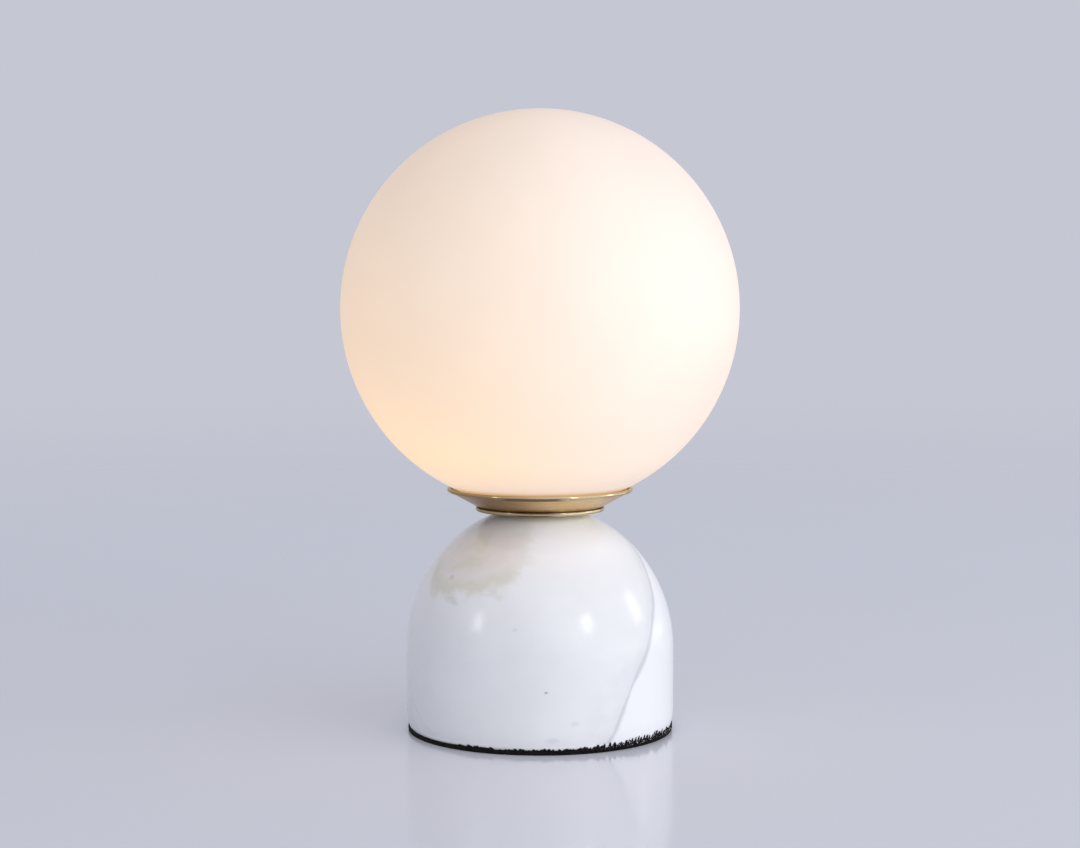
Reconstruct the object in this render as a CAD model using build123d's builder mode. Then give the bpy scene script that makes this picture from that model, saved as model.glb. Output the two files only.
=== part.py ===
from build123d import *
import math
import os

# Table lamp: an opal glass globe in a brass dish on a domed marble base.
# Millimetres. +Z is up and the origin is the centre of the pad's underside.
# -Y is the front. The mains cord enters at the back, +Y.

os.makedirs("parts", exist_ok=True)

# ---- Glass globe
globe_radius = 100.0
globe_wall = 2.5
neck_radius = 30.0                # outside of the ground neck
neck_wall = 2.5
neck_drop = 1.9                   # neck edge below the point where it leaves the sphere
neck_chamfer = 0.4

# ---- Marble base and its pad
pad_thickness = 2.0
pad_inset = 0.8                   # pad edge inside the widest circle of the stone
marble_radius = 67.6
marble_band = 39.4                # underside to the start of the dome
marble_dome = 72.3                # half height of the dome's ellipse, uncut
marble_flat_radius = 20.0         # level seat on top of the dome
marble_foot_height = 10.0         # the band draws in over this height
marble_foot_inset = 1.5
recess_radius = 38.0              # wiring recess in the underside
recess_depth = 26.0
pocket_radius = 15.5              # smaller pocket above the recess, for nut and rod end
pocket_depth = 10.0
rod_play = 0.5                    # rod to stone, all round

# ---- Cord inlet at the back
cord_height = 12.0                # axis above the table
channel_radius = 4.6
inlet_seat_radius = 7.0
inlet_seat_depth = 3.0
grommet_flange = 2.5
grommet_sleeve = 10.0
cord_hole_radius = 3.3
rubber_fit = 0.05                 # rubber to stone, all round

# ---- Brass between stone and globe
stone_washer_radius = 18.0
stone_washer_thickness = 1.0
foot_disc_radius = 32.5
foot_disc_thickness = 1.9
foot_disc_edge = 0.6
dish_sheet = 1.2
dish_floor_margin = 1.3           # bend between floor and cone, outside the glass neck
dish_bend = 2.0
rim_radius = 46.9                 # outside of the rim bead
rim_bead = 1.0                    # bead radius
rim_gap = 0.74                    # bead to glass
gasket_thickness = 1.0
gasket_margin = 0.6               # gasket wider than the glass edge, each side

# ---- Springs that grip the glass neck from inside
carrier_thickness = 1.0
carrier_clearance = 0.7           # plate to gasket
spring_count = 3
spring_sheet = 0.4
spring_width = 6.0
spring_gap = 0.3                  # spring to glass
spring_foot_start = 15.0          # from the lamp's axis
spring_bend_radius = 22.8         # where the foot turns up, from the axis
spring_knee_rise = 3.4
spring_tip_rise = 10.0
spring_tip_inset = 3.2            # free end inside the knee
spring_curl = 1.6                 # bend radius of the strip
rivet_radius = 1.2
rivet_head_radius = 2.2
rivet_head = 0.8
rivet_place = 18.6                # from the lamp's axis

# ---- Threaded rod M10x1 and what clamps on it
rod_radius = 5.0
rod_bore_radius = 3.75
rod_fit = 0.15                    # plain holes around the rod
thread_fit = 0.05                 # tapped holes around the rod
lock_washer_radius = 8.0
lock_washer_thickness = 0.8
lock_washer_teeth = 12
tooth_gap_depth = 1.6
tooth_gap_width = 1.4
nut_across_flats = 14.0
nut_thickness = 3.2
nut_chamfer = 0.6
rod_below_nut = 1.5
bushing_flange = 1.5
bushing_flange_radius = 5.6
bushing_sleeve = 7.0
bushing_bore_radius = 3.3
clamp_sheet = 1.5
clamp_edge_gap = 2.0              # plate edge to recess wall
clamp_pocket_gap = 0.5            # raised centre to pocket wall
clamp_bend = 2.0

# ---- Lampholder for a G9 capsule
bracket_collar_radius = 7.0
bracket_collar = 3.0
bracket_radius = 13.0
bracket_sheet = 1.2
rod_below_bracket_top = 0.8
holder_flange = 4.5
holder_height = 24.0
holder_width = 18.4
holder_depth = 13.0
holder_corner = 4.0
holder_wall = 2.5
holder_bridge = 2.0               # between wiring space and contact slots
slot_depth = 10.0
slot_width = 4.2
slot_breadth = 3.2
pin_spacing = 9.0
tail_radius = 1.05
tail_length = 4.0
tail_fit = 0.1
contact_sheet = 0.4
contact_fit = 0.05
contact_height = 8.4
holder_screw_place = 9.8          # from the axis, front and back
holder_screw_radius = 1.25
holder_screw_head_radius = 2.2
holder_screw_head = 1.4
screw_fit = 0.15
screw_slot_width = 0.6
screw_slot_depth = 0.5

# ---- LED capsule bulb
bulb_base_radius = 7.9
bulb_base_height = 13.0
bulb_base_taper = 0.8
bulb_cover_radius = 8.0
bulb_cover_wall = 0.8
bulb_cover_height = 36.0
bulb_cover_flat = 1.0             # radius of the nearly level tip
bulb_core_width = 7.0
bulb_core_height = 27.0
led_rows = 5
led_pitch = 4.8
led_width = 2.8
led_height = 3.5
led_thickness = 0.7
pin_length = 8.0
pin_width = 2.8
pin_wire = 0.9

# ---- Terminal block under the clamp plate, and the leads
lead_radius = 0.95
lead_spread = 1.6                 # live and neutral, each side of the axis
block_width = 28.5
block_length = 16.0
block_height = 13.0
block_edge_gap = 2.0              # its back corners to the recess wall
pole_pitch = 9.5
pole_depth = 6.0                  # barrel axis below the block's seat
barrel_radius = 2.1
barrel_bore_radius = 1.25
barrel_length = 14.0
barrel_fit = 0.1
barrel_screw_radius = 1.3
barrel_screw_inset = 3.2          # screw axis from the barrel's end
barrel_screw_sink = 1.5           # screw head inside the block's face
block_slit = 1.4                  # gap between poles
block_slit_depth = 5.0
block_screw_radius = 1.4
block_screw_head_radius = 2.4
block_screw_head = 1.2
tag_sheet = 0.8
tag_radius = 7.6
tag_width = 4.0
tag_reach = 10.6                  # crimp axis from the lamp's axis
tag_barrel_radius = 1.6
tag_barrel_length = 5.0
lead_in_barrel = 5.0
lead_straight = 3.2               # straight run out of a contact tail
lead_gather = 1.0                 # live and neutral have come together this far above the bracket
lead_below_bushing = 2.0          # straight run out of the bushing
lead_turn = 2.4                   # first turn to the back, from the axis
lead_turn_drop = 1.8              # its height above the barrels
lead_fan = 0.8                    # sideways by then
lead_fan_start = 9.0              # the leads spread from here, ahead of the block
lead_fan_end = 3.0                # and run straight from here

# ---- Heights, from the table up
marble_bottom = pad_thickness
shoulder_height = marble_bottom + marble_band
marble_top = shoulder_height + marble_dome * math.sqrt(1 - (marble_flat_radius / marble_radius) ** 2)
foot_disc_bottom = marble_top + stone_washer_thickness
dish_bottom = foot_disc_bottom + foot_disc_thickness
dish_floor = dish_bottom + dish_sheet
globe_bottom = dish_floor + gasket_thickness
carrier_top = dish_floor + carrier_thickness
top_nut_bottom = carrier_top + lock_washer_thickness
bracket_bottom = top_nut_bottom + nut_thickness
bracket_top = bracket_bottom + bracket_collar + bracket_sheet
holder_top = bracket_top + holder_height
globe_center = globe_bottom + neck_drop + math.sqrt(globe_radius**2 - neck_radius**2)
bead_reach = globe_radius + rim_gap + rim_bead   # centre of the globe to the middle of the bead
bead_height = globe_center - math.sqrt(bead_reach**2 - (rim_radius - rim_bead) ** 2)

# Heights in the recess, from its ceilings down
recess_top = marble_bottom + recess_depth
pocket_top = recess_top + pocket_depth
clamp_seat = pocket_top - clamp_sheet
tag_bottom = clamp_seat - tag_sheet
bottom_washer_bottom = tag_bottom - lock_washer_thickness
bottom_nut_bottom = bottom_washer_bottom - nut_thickness
rod_bottom = bottom_nut_bottom - rod_below_nut
rod_top = bracket_top - rod_below_bracket_top
block_seat = recess_top - clamp_sheet
block_bottom = block_seat - block_height
block_back = math.sqrt((recess_radius - block_edge_gap) ** 2 - (block_width / 2) ** 2)
block_middle = block_back - block_length / 2
pole_height = block_seat - pole_depth

neck_bore_radius = neck_radius - neck_wall


# ---- Base pad: a plain foam disc glued under the stone
with BuildPart() as base_pad:
    with BuildSketch():
        Circle(marble_radius - pad_inset)
    extrude(amount=pad_thickness)
base_pad.part.label = "base_pad"
export_step(base_pad.part, "parts/base_pad.step")


# ---- Marble base: turned outside, recessed underneath, drilled for rod and cord
with BuildPart() as marble_base:
    with BuildSketch(Plane.XZ):
        with BuildLine():
            foot_radius = marble_radius - marble_foot_inset
            foot_top = (marble_radius, marble_bottom + marble_foot_height)
            Line((0, marble_bottom), (foot_radius, marble_bottom))
            TangentArc(foot_top, (foot_radius, marble_bottom), tangent=(0, -1))
            Line(foot_top, (marble_radius, shoulder_height))
            apex = (0, shoulder_height + marble_dome)
            dome_corner = (marble_radius, shoulder_height + marble_dome)
            Bezier(
                (marble_radius, shoulder_height),
                dome_corner,
                apex,
                weights=[1, math.sqrt(0.5), 1],
            )
            Line(apex, (0, marble_bottom))
        make_face()
    revolve(axis=Axis.Z)
    split(bisect_by=Plane.XY.offset(marble_top), keep=Keep.BOTTOM)
    with BuildSketch(Plane.XZ):
        with BuildLine():
            Polyline(
                (0, marble_bottom),
                (recess_radius, marble_bottom),
                (recess_radius, recess_top),
                (pocket_radius + clamp_bend, recess_top),
                (pocket_radius, recess_top + clamp_bend),
                (pocket_radius, pocket_top),
                (rod_radius + rod_play, pocket_top),
                (rod_radius + rod_play, marble_top),
                (0, marble_top),
                close=True,
            )
        make_face()
    revolve(axis=Axis.Z, mode=Mode.SUBTRACT)
    inlet_plane = Plane(origin=(0, marble_radius, cord_height), x_dir=(1, 0, 0), z_dir=(0, 1, 0))
    with BuildSketch(inlet_plane):
        Circle(channel_radius)
    extrude(amount=recess_radius - marble_radius - channel_radius, mode=Mode.SUBTRACT)
    with BuildSketch(inlet_plane):
        Circle(inlet_seat_radius)
    extrude(amount=-inlet_seat_depth, mode=Mode.SUBTRACT)
marble_base.part.label = "marble_base"
export_step(marble_base.part, "parts/marble_base.step")


# ---- Cord grommet: flanged rubber sleeve in the stone's cord channel
with BuildPart() as cord_grommet:
    seat_plane = inlet_plane.offset(-inlet_seat_depth)
    with BuildSketch(seat_plane):
        Circle(inlet_seat_radius - rubber_fit)
    extrude(amount=grommet_flange)
    fillet(cord_grommet.edges().group_by(Axis.Y)[-1], grommet_flange / 4)
    with BuildSketch(seat_plane):
        Circle(channel_radius - rubber_fit)
    extrude(amount=-grommet_sleeve)
    with BuildSketch(seat_plane.offset(grommet_flange)):
        Circle(cord_hole_radius)
    extrude(amount=-grommet_flange - grommet_sleeve, mode=Mode.SUBTRACT)
cord_grommet.part.label = "cord_grommet"
export_step(cord_grommet.part, "parts/cord_grommet.step")


# ---- Stone washer: soft ring that keeps the brass off the marble
with BuildPart() as stone_washer:
    with BuildSketch(Plane.XY.offset(marble_top)):
        Circle(stone_washer_radius)
        Circle(rod_radius + rod_play, mode=Mode.SUBTRACT)
    extrude(amount=stone_washer_thickness)
stone_washer.part.label = "stone_washer"
export_step(stone_washer.part, "parts/stone_washer.step")


# ---- Brass foot disc: flat, with a rounded edge
with BuildPart() as brass_foot_disc:
    with BuildSketch(Plane.XY.offset(foot_disc_bottom)):
        Circle(foot_disc_radius)
    extrude(amount=foot_disc_thickness)
    fillet(brass_foot_disc.edges(), foot_disc_edge)
    with BuildSketch(Plane.XY.offset(foot_disc_bottom)):
        Circle(rod_radius + rod_fit)
    extrude(amount=foot_disc_thickness, mode=Mode.SUBTRACT)
brass_foot_disc.part.label = "brass_foot_disc"
export_step(brass_foot_disc.part, "parts/brass_foot_disc.step")


# ---- Brass dish: spun sheet, flat floor, straight cone and a beaded rim
with BuildPart() as brass_dish:
    floor_middle = dish_bottom + dish_sheet / 2
    bead_center = (rim_radius - rim_bead, bead_height)
    with BuildSketch(Plane.XZ):
        with BuildLine():
            FilletPolyline(
                (rod_radius + rod_fit, floor_middle),
                (neck_radius + dish_floor_margin, floor_middle),
                bead_center,
                radius=dish_bend,
            )
        trace(line_width=dish_sheet)
        with Locations(bead_center):
            Circle(rim_bead)
    revolve(axis=Axis.Z)
brass_dish.part.label = "brass_dish"
export_step(brass_dish.part, "parts/brass_dish.step")


# ---- Globe gasket: silicone ring under the glass edge
with BuildPart() as globe_gasket:
    with BuildSketch(Plane.XY.offset(dish_floor)):
        Circle(neck_radius + gasket_margin)
        Circle(neck_bore_radius - gasket_margin, mode=Mode.SUBTRACT)
    extrude(amount=gasket_thickness)
globe_gasket.part.label = "globe_gasket"
export_step(globe_gasket.part, "parts/globe_gasket.step")


# ---- Glass globe: blown shell with a short ground neck
with BuildPart() as glass_globe:
    bore_radius = globe_radius - globe_wall
    neck_top = globe_bottom + neck_drop
    inner_neck_top = globe_center - math.sqrt(bore_radius**2 - neck_bore_radius**2)
    with BuildSketch(Plane.XZ):
        with BuildLine():
            ThreePointArc(
                (neck_radius, neck_top),
                (globe_radius, globe_center),
                (0, globe_center + globe_radius),
            )
            Line((0, globe_center + globe_radius), (0, globe_center + bore_radius))
            ThreePointArc(
                (0, globe_center + bore_radius),
                (bore_radius, globe_center),
                (neck_bore_radius, inner_neck_top),
            )
            Line((neck_bore_radius, inner_neck_top), (neck_bore_radius, globe_bottom))
            Line((neck_bore_radius, globe_bottom), (neck_radius, globe_bottom))
            Line((neck_radius, globe_bottom), (neck_radius, neck_top))
        make_face()
    revolve(axis=Axis.Z)
    chamfer(glass_globe.faces().sort_by(Axis.Z)[0].edges(), neck_chamfer)
glass_globe.part.label = "glass_globe"
export_step(glass_globe.part, "parts/glass_globe.step")


# ---- Spring carrier: round steel plate inside the gasket
with BuildPart() as spring_carrier:
    with BuildSketch(Plane.XY.offset(dish_floor)):
        Circle(neck_bore_radius - gasket_margin - carrier_clearance)
        Circle(rod_radius + rod_fit, mode=Mode.SUBTRACT)
        with PolarLocations(rivet_place, spring_count, start_angle=90):
            Circle(rivet_radius, mode=Mode.SUBTRACT)
    extrude(amount=carrier_thickness)
spring_carrier.part.label = "spring_carrier"
export_step(spring_carrier.part, "parts/spring_carrier.step")


# ---- Globe springs: bent strips whose knees stand just inside the glass neck
with BuildPart() as globe_springs:
    strip_reach = math.sqrt((neck_bore_radius - spring_gap) ** 2 - (spring_width / 2) ** 2)
    knee = strip_reach - spring_sheet / 2
    strip_height = carrier_top + spring_sheet / 2
    for turn in range(spring_count):
        spring_plane = Plane.XZ.rotated((0, 0, 90 + turn * 360 / spring_count))
        with BuildSketch(spring_plane):
            with BuildLine():
                FilletPolyline(
                    (spring_foot_start, strip_height),
                    (spring_bend_radius, strip_height),
                    (knee, strip_height + spring_knee_rise),
                    (knee - spring_tip_inset, strip_height + spring_tip_rise),
                    radius=spring_curl,
                )
            trace(line_width=spring_sheet)
        extrude(amount=spring_width / 2, both=True)
    with BuildSketch(Plane.XY.offset(carrier_top)):
        with PolarLocations(rivet_place, spring_count, start_angle=90):
            Circle(rivet_radius)
    extrude(amount=spring_sheet, mode=Mode.SUBTRACT)
globe_springs.part.label = "globe_springs"
export_step(globe_springs.part, "parts/globe_springs.step")


# ---- Spring rivets: shank through plate and strip, domed head on top
with BuildPart() as spring_rivets:
    with BuildSketch(Plane.XY.offset(dish_floor)):
        with PolarLocations(rivet_place, spring_count, start_angle=90):
            Circle(rivet_radius)
    extrude(amount=carrier_thickness + spring_sheet)
    with BuildSketch(Plane.XY.offset(carrier_top + spring_sheet)):
        with PolarLocations(rivet_place, spring_count, start_angle=90):
            Circle(rivet_head_radius)
    extrude(amount=rivet_head)
    fillet(spring_rivets.edges().group_by(Axis.Z)[-1], rivet_head / 2)
spring_rivets.part.label = "spring_rivets"
export_step(spring_rivets.part, "parts/spring_rivets.step")


# ---- Threaded rod: hollow, from the recess up into the lampholder bracket
with BuildPart() as threaded_tube:
    with BuildSketch(Plane.XY.offset(rod_bottom)):
        Circle(rod_radius)
        Circle(rod_bore_radius, mode=Mode.SUBTRACT)
    extrude(amount=rod_top - rod_bottom)
threaded_tube.part.label = "threaded_tube"
export_step(threaded_tube.part, "parts/threaded_tube.step")


# ---- Clamp plate: pressed steel, raised centre in the pocket, flange on the recess ceiling
with BuildPart() as clamp_plate:
    wall_middle = pocket_radius - clamp_pocket_gap - clamp_sheet / 2
    with BuildSketch(Plane.XZ):
        with BuildLine():
            FilletPolyline(
                (rod_radius + rod_fit, pocket_top - clamp_sheet / 2),
                (wall_middle, pocket_top - clamp_sheet / 2),
                (wall_middle, recess_top - clamp_sheet / 2),
                (recess_radius - clamp_edge_gap, recess_top - clamp_sheet / 2),
                radius=clamp_bend,
            )
        trace(line_width=clamp_sheet)
    revolve(axis=Axis.Z)
    with BuildSketch(Plane.XY.offset(block_seat)):
        with Locations((0, block_middle)):
            with GridLocations(pole_pitch, 0, 2, 1):
                Circle(block_screw_radius)
    extrude(amount=clamp_sheet, mode=Mode.SUBTRACT)
clamp_plate.part.label = "clamp_plate"
export_step(clamp_plate.part, "parts/clamp_plate.step")


# ---- Lock washers: toothed rings, one below the stone and one in the dish
for washer_name, washer_bottom in (
    ("bottom_lock_washer", bottom_washer_bottom),
    ("top_lock_washer", carrier_top),
):
    with BuildPart() as lock_washer:
        with BuildSketch(Plane.XY.offset(washer_bottom)):
            Circle(lock_washer_radius)
            Circle(rod_radius + rod_fit, mode=Mode.SUBTRACT)
            with PolarLocations(lock_washer_radius, lock_washer_teeth):
                Rectangle(2 * tooth_gap_depth, tooth_gap_width, mode=Mode.SUBTRACT)
        extrude(amount=lock_washer_thickness)
    lock_washer.part.label = washer_name
    export_step(lock_washer.part, f"parts/{washer_name}.step")


# ---- Hexagon nuts on the rod, one below the stone and one in the dish
for nut_name, nut_bottom in (
    ("bottom_nut", bottom_nut_bottom),
    ("top_nut", top_nut_bottom),
):
    with BuildPart() as hexagon_nut:
        with BuildSketch(Plane.XY.offset(nut_bottom)):
            RegularPolygon(nut_across_flats / 2, 6, major_radius=False)
        extrude(amount=nut_thickness)
        chamfer(hexagon_nut.edges().filter_by(GeomType.LINE).group_by(Axis.Z)[0], nut_chamfer)
        chamfer(hexagon_nut.edges().filter_by(GeomType.LINE).group_by(Axis.Z)[-1], nut_chamfer)
        with BuildSketch(Plane.XY.offset(nut_bottom)):
            Circle(rod_radius + thread_fit)
        extrude(amount=nut_thickness, mode=Mode.SUBTRACT)
    hexagon_nut.part.label = nut_name
    export_step(hexagon_nut.part, f"parts/{nut_name}.step")


# ---- Tube bushing: plastic bush in the rod's lower end
with BuildPart() as tube_bushing:
    with BuildSketch(Plane.XY.offset(rod_bottom)):
        Circle(bushing_flange_radius)
    extrude(amount=-bushing_flange)
    with BuildSketch(Plane.XY.offset(rod_bottom)):
        Circle(rod_bore_radius - thread_fit)
    extrude(amount=bushing_sleeve)
    with BuildSketch(Plane.XY.offset(rod_bottom - bushing_flange)):
        Circle(bushing_bore_radius)
    extrude(amount=bushing_flange + bushing_sleeve, mode=Mode.SUBTRACT)
    fillet(tube_bushing.edges().group_by(Axis.Z)[0], bushing_flange / 4)
tube_bushing.part.label = "tube_bushing"
export_step(tube_bushing.part, "parts/tube_bushing.step")


# ---- Earth tag: ring under the bottom washer, tongue to the back, crimp pointing down
with BuildPart() as earth_tag:
    with BuildSketch(Plane.XY.offset(tag_bottom)):
        Circle(tag_radius)
        with Locations((0, tag_reach / 2)):
            Rectangle(tag_width, tag_reach)
        with Locations((0, tag_reach)):
            Circle(tag_width / 2)
        Circle(rod_radius + rod_fit, mode=Mode.SUBTRACT)
    extrude(amount=tag_sheet)
    with BuildSketch(Plane.XY.offset(tag_bottom)):
        with Locations((0, tag_reach)):
            Circle(tag_barrel_radius)
            Circle(lead_radius + barrel_fit, mode=Mode.SUBTRACT)
    extrude(amount=-tag_barrel_length)
earth_tag.part.label = "earth_tag"
export_step(earth_tag.part, "parts/earth_tag.step")


# ---- Lampholder bracket: plate with a threaded collar that stands on the top nut
with BuildPart() as lampholder_bracket:
    with BuildSketch(Plane.XY.offset(bracket_bottom)):
        Circle(bracket_collar_radius)
    extrude(amount=bracket_collar)
    with BuildSketch(Plane.XY.offset(bracket_bottom + bracket_collar)):
        Circle(bracket_radius)
    extrude(amount=bracket_sheet)
    with BuildSketch(Plane.XY.offset(bracket_bottom)):
        Circle(rod_radius + thread_fit)
        with GridLocations(0, 2 * holder_screw_place, 1, 2):
            Circle(holder_screw_radius)
    extrude(amount=bracket_collar + bracket_sheet, mode=Mode.SUBTRACT)
lampholder_bracket.part.label = "lampholder_bracket"
export_step(lampholder_bracket.part, "parts/lampholder_bracket.step")


# ---- Lampholder body: porcelain, round flange, wiring space below, two slots above
slot_bottom = holder_top - slot_depth
wiring_top = slot_bottom - holder_bridge
with BuildPart() as lampholder_body:
    with BuildSketch(Plane.XY.offset(bracket_top)):
        Circle(bracket_radius)
    extrude(amount=holder_flange)
    with BuildSketch(Plane.XY.offset(bracket_top)):
        RectangleRounded(holder_width, holder_depth, holder_corner)
    extrude(amount=holder_height)
    fillet(lampholder_body.edges().group_by(Axis.Z)[-1], holder_corner / 4)
    with BuildSketch(Plane.XY.offset(bracket_top)):
        RectangleRounded(
            holder_width - 2 * holder_wall,
            holder_depth - 2 * holder_wall,
            holder_corner / 2,
        )
    extrude(amount=wiring_top - bracket_top, mode=Mode.SUBTRACT)
    with BuildSketch(Plane.XY.offset(slot_bottom)):
        with GridLocations(pin_spacing, 0, 2, 1):
            Rectangle(slot_width, slot_breadth)
    extrude(amount=slot_depth, mode=Mode.SUBTRACT)
    with BuildSketch(Plane.XY.offset(wiring_top)):
        with GridLocations(pin_spacing, 0, 2, 1):
            Circle(tail_radius + tail_fit)
    extrude(amount=holder_bridge, mode=Mode.SUBTRACT)
    with BuildSketch(Plane.XY.offset(bracket_top)):
        with GridLocations(0, 2 * holder_screw_place, 1, 2):
            Circle(holder_screw_radius + screw_fit)
    extrude(amount=holder_flange, mode=Mode.SUBTRACT)
lampholder_body.part.label = "lampholder_body"
export_step(lampholder_body.part, "parts/lampholder_body.step")


# ---- Lampholder contacts: two leaves each side of a pin, on a round tail
tail_bottom = slot_bottom + contact_sheet - tail_length
with BuildPart() as lampholder_contacts:
    leaf_place = slot_breadth / 2 - contact_fit - contact_sheet / 2
    with BuildSketch(Plane.XY.offset(slot_bottom)):
        with GridLocations(pin_spacing, 0, 2, 1):
            Rectangle(slot_width - 2 * contact_fit, slot_breadth - 2 * contact_fit)
    extrude(amount=contact_sheet)
    with BuildSketch(Plane.XY.offset(slot_bottom)):
        with GridLocations(pin_spacing, 2 * leaf_place, 2, 2):
            Rectangle(slot_width - 2 * contact_fit, contact_sheet)
    extrude(amount=contact_height)
    with BuildSketch(Plane.XY.offset(tail_bottom)):
        with GridLocations(pin_spacing, 0, 2, 1):
            Circle(tail_radius)
    extrude(amount=tail_length)
lampholder_contacts.part.label = "lampholder_contacts"
export_step(lampholder_contacts.part, "parts/lampholder_contacts.step")


# ---- Lampholder screws: slotted heads on the flange, shanks down into the bracket
with BuildPart() as lampholder_screws:
    flange_top = bracket_top + holder_flange
    with BuildSketch(Plane.XY.offset(flange_top)):
        with GridLocations(0, 2 * holder_screw_place, 1, 2):
            Circle(holder_screw_radius)
    extrude(amount=-holder_flange - bracket_sheet)
    with BuildSketch(Plane.XY.offset(flange_top)):
        with GridLocations(0, 2 * holder_screw_place, 1, 2):
            Circle(holder_screw_head_radius)
    extrude(amount=holder_screw_head)
    with BuildSketch(Plane.XY.offset(flange_top + holder_screw_head)):
        with GridLocations(0, 2 * holder_screw_place, 1, 2):
            Rectangle(2 * holder_screw_head_radius, screw_slot_width)
    extrude(amount=-screw_slot_depth, mode=Mode.SUBTRACT)
lampholder_screws.part.label = "lampholder_screws"
export_step(lampholder_screws.part, "parts/lampholder_screws.step")


# ---- Bulb base: plastic cup that stands on the lampholder
with BuildPart() as bulb_base:
    with BuildSketch(Plane.XY.offset(holder_top)):
        Circle(bulb_base_radius - bulb_base_taper)
    with BuildSketch(Plane.XY.offset(holder_top + bulb_base_height)):
        Circle(bulb_base_radius)
    loft()
bulb_base.part.label = "bulb_base"
export_step(bulb_base.part, "parts/bulb_base.step")


# ---- Bulb pins: two wire loops that go down between the contacts
with BuildPart() as bulb_pins:
    with BuildSketch(Plane.XZ):
        with Locations((0, holder_top - pin_length / 2)):
            with GridLocations(pin_spacing, 0, 2, 1):
                Rectangle(pin_width, pin_length)
    extrude(amount=pin_wire / 2, both=True)
    fillet(
        bulb_pins.edges().filter_by(Axis.Y).group_by(Axis.Z)[0],
        pin_width / 2 - pin_wire / 4,
    )
    with BuildSketch(Plane.XZ):
        with Locations((0, holder_top - pin_length / 2)):
            with GridLocations(pin_spacing, 0, 2, 1):
                SlotOverall(pin_length - 2 * pin_wire, pin_width - 2 * pin_wire, rotation=90)
    extrude(amount=pin_wire, both=True, mode=Mode.SUBTRACT)
bulb_pins.part.label = "bulb_pins"
export_step(bulb_pins.part, "parts/bulb_pins.step")


# ---- Bulb core: square ceramic post that carries the chips
core_bottom = holder_top + bulb_base_height
with BuildPart() as bulb_core:
    with BuildSketch(Plane.XY.offset(core_bottom)):
        Rectangle(bulb_core_width, bulb_core_width)
    extrude(amount=bulb_core_height)
bulb_core.part.label = "bulb_core"
export_step(bulb_core.part, "parts/bulb_core.step")


# ---- Bulb chips: a column of them on each side of the core
with BuildPart() as bulb_leds:
    chip_middle = core_bottom + bulb_core_height / 2
    for side in range(4):
        side_plane = Plane.XZ.rotated((0, 0, side * 90)).offset(bulb_core_width / 2)
        with BuildSketch(side_plane):
            with Locations((0, chip_middle)):
                with GridLocations(0, led_pitch, 1, led_rows):
                    Rectangle(led_width, led_height)
        extrude(amount=led_thickness)
bulb_leds.part.label = "bulb_leds"
export_step(bulb_leds.part, "parts/bulb_leds.step")


# ---- Bulb cover: frosted tube with a round end
with BuildPart() as bulb_cover:
    wall_radius = bulb_cover_radius - bulb_cover_wall / 2
    wall_top = core_bottom + bulb_cover_height - bulb_cover_wall / 2
    with BuildSketch(Plane.XZ):
        with BuildLine():
            FilletPolyline(
                (wall_radius, core_bottom),
                (wall_radius, wall_top),
                (0, wall_top),
                radius=wall_radius - bulb_cover_flat,
            )
        trace(line_width=bulb_cover_wall)
    revolve(axis=Axis.Z)
bulb_cover.part.label = "bulb_cover"
export_step(bulb_cover.part, "parts/bulb_cover.step")


# ---- Terminal block: three poles in one moulding, seated on the clamp plate's underside
with BuildPart() as terminal_block:
    with BuildSketch(Plane.XY.offset(block_bottom)):
        with Locations((0, block_middle)):
            Rectangle(block_width, block_length)
    extrude(amount=block_height)
    fillet(terminal_block.edges().filter_by(Axis.Z), block_slit / 2)
    with BuildSketch(Plane.XY.offset(block_bottom)):
        with Locations((0, block_middle)):
            with GridLocations(pole_pitch, 0, 2, 1):
                Rectangle(block_slit, block_length)
    extrude(amount=block_slit_depth, mode=Mode.SUBTRACT)
    with BuildSketch(Plane.XY.offset(block_bottom)):
        with Locations((0, block_middle)):
            with GridLocations(pole_pitch, 0, 2, 1):
                Circle(block_screw_radius + screw_fit)
    extrude(amount=block_height, mode=Mode.SUBTRACT)
    with BuildSketch(Plane.XY.offset(block_bottom)):
        with Locations((0, block_middle)):
            with GridLocations(pole_pitch, 0, 2, 1):
                Circle(block_screw_head_radius + screw_fit)
    extrude(amount=block_slit_depth, mode=Mode.SUBTRACT)
    with BuildSketch(Plane.XZ.offset(-block_back)):
        with Locations((0, pole_height)):
            with GridLocations(pole_pitch, 0, 3, 1):
                Circle(barrel_radius + barrel_fit)
    extrude(amount=block_length, mode=Mode.SUBTRACT)
    with BuildSketch(Plane.XY.offset(block_bottom)):
        with Locations((0, block_middle)):
            with GridLocations(pole_pitch, barrel_length - 2 * barrel_screw_inset, 3, 2):
                Circle(barrel_screw_radius + screw_fit)
    extrude(amount=pole_height - block_bottom, mode=Mode.SUBTRACT)
terminal_block.part.label = "terminal_block"
export_step(terminal_block.part, "parts/terminal_block.step")


# ---- Terminal barrels: a bored brass tube in each pole, tapped twice from below
with BuildPart() as terminal_barrels:
    barrel_front = block_middle - barrel_length / 2
    with BuildSketch(Plane.XZ.offset(-barrel_front)):
        with Locations((0, pole_height)):
            with GridLocations(pole_pitch, 0, 3, 1):
                Circle(barrel_radius)
                Circle(barrel_bore_radius, mode=Mode.SUBTRACT)
    extrude(amount=-barrel_length)
    with BuildSketch(Plane.XY.offset(block_bottom)):
        with Locations((0, block_middle)):
            with GridLocations(pole_pitch, barrel_length - 2 * barrel_screw_inset, 3, 2):
                Circle(barrel_screw_radius + thread_fit)
    extrude(amount=pole_height - block_bottom, mode=Mode.SUBTRACT)
terminal_barrels.part.label = "terminal_barrels"
export_step(terminal_barrels.part, "parts/terminal_barrels.step")


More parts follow.
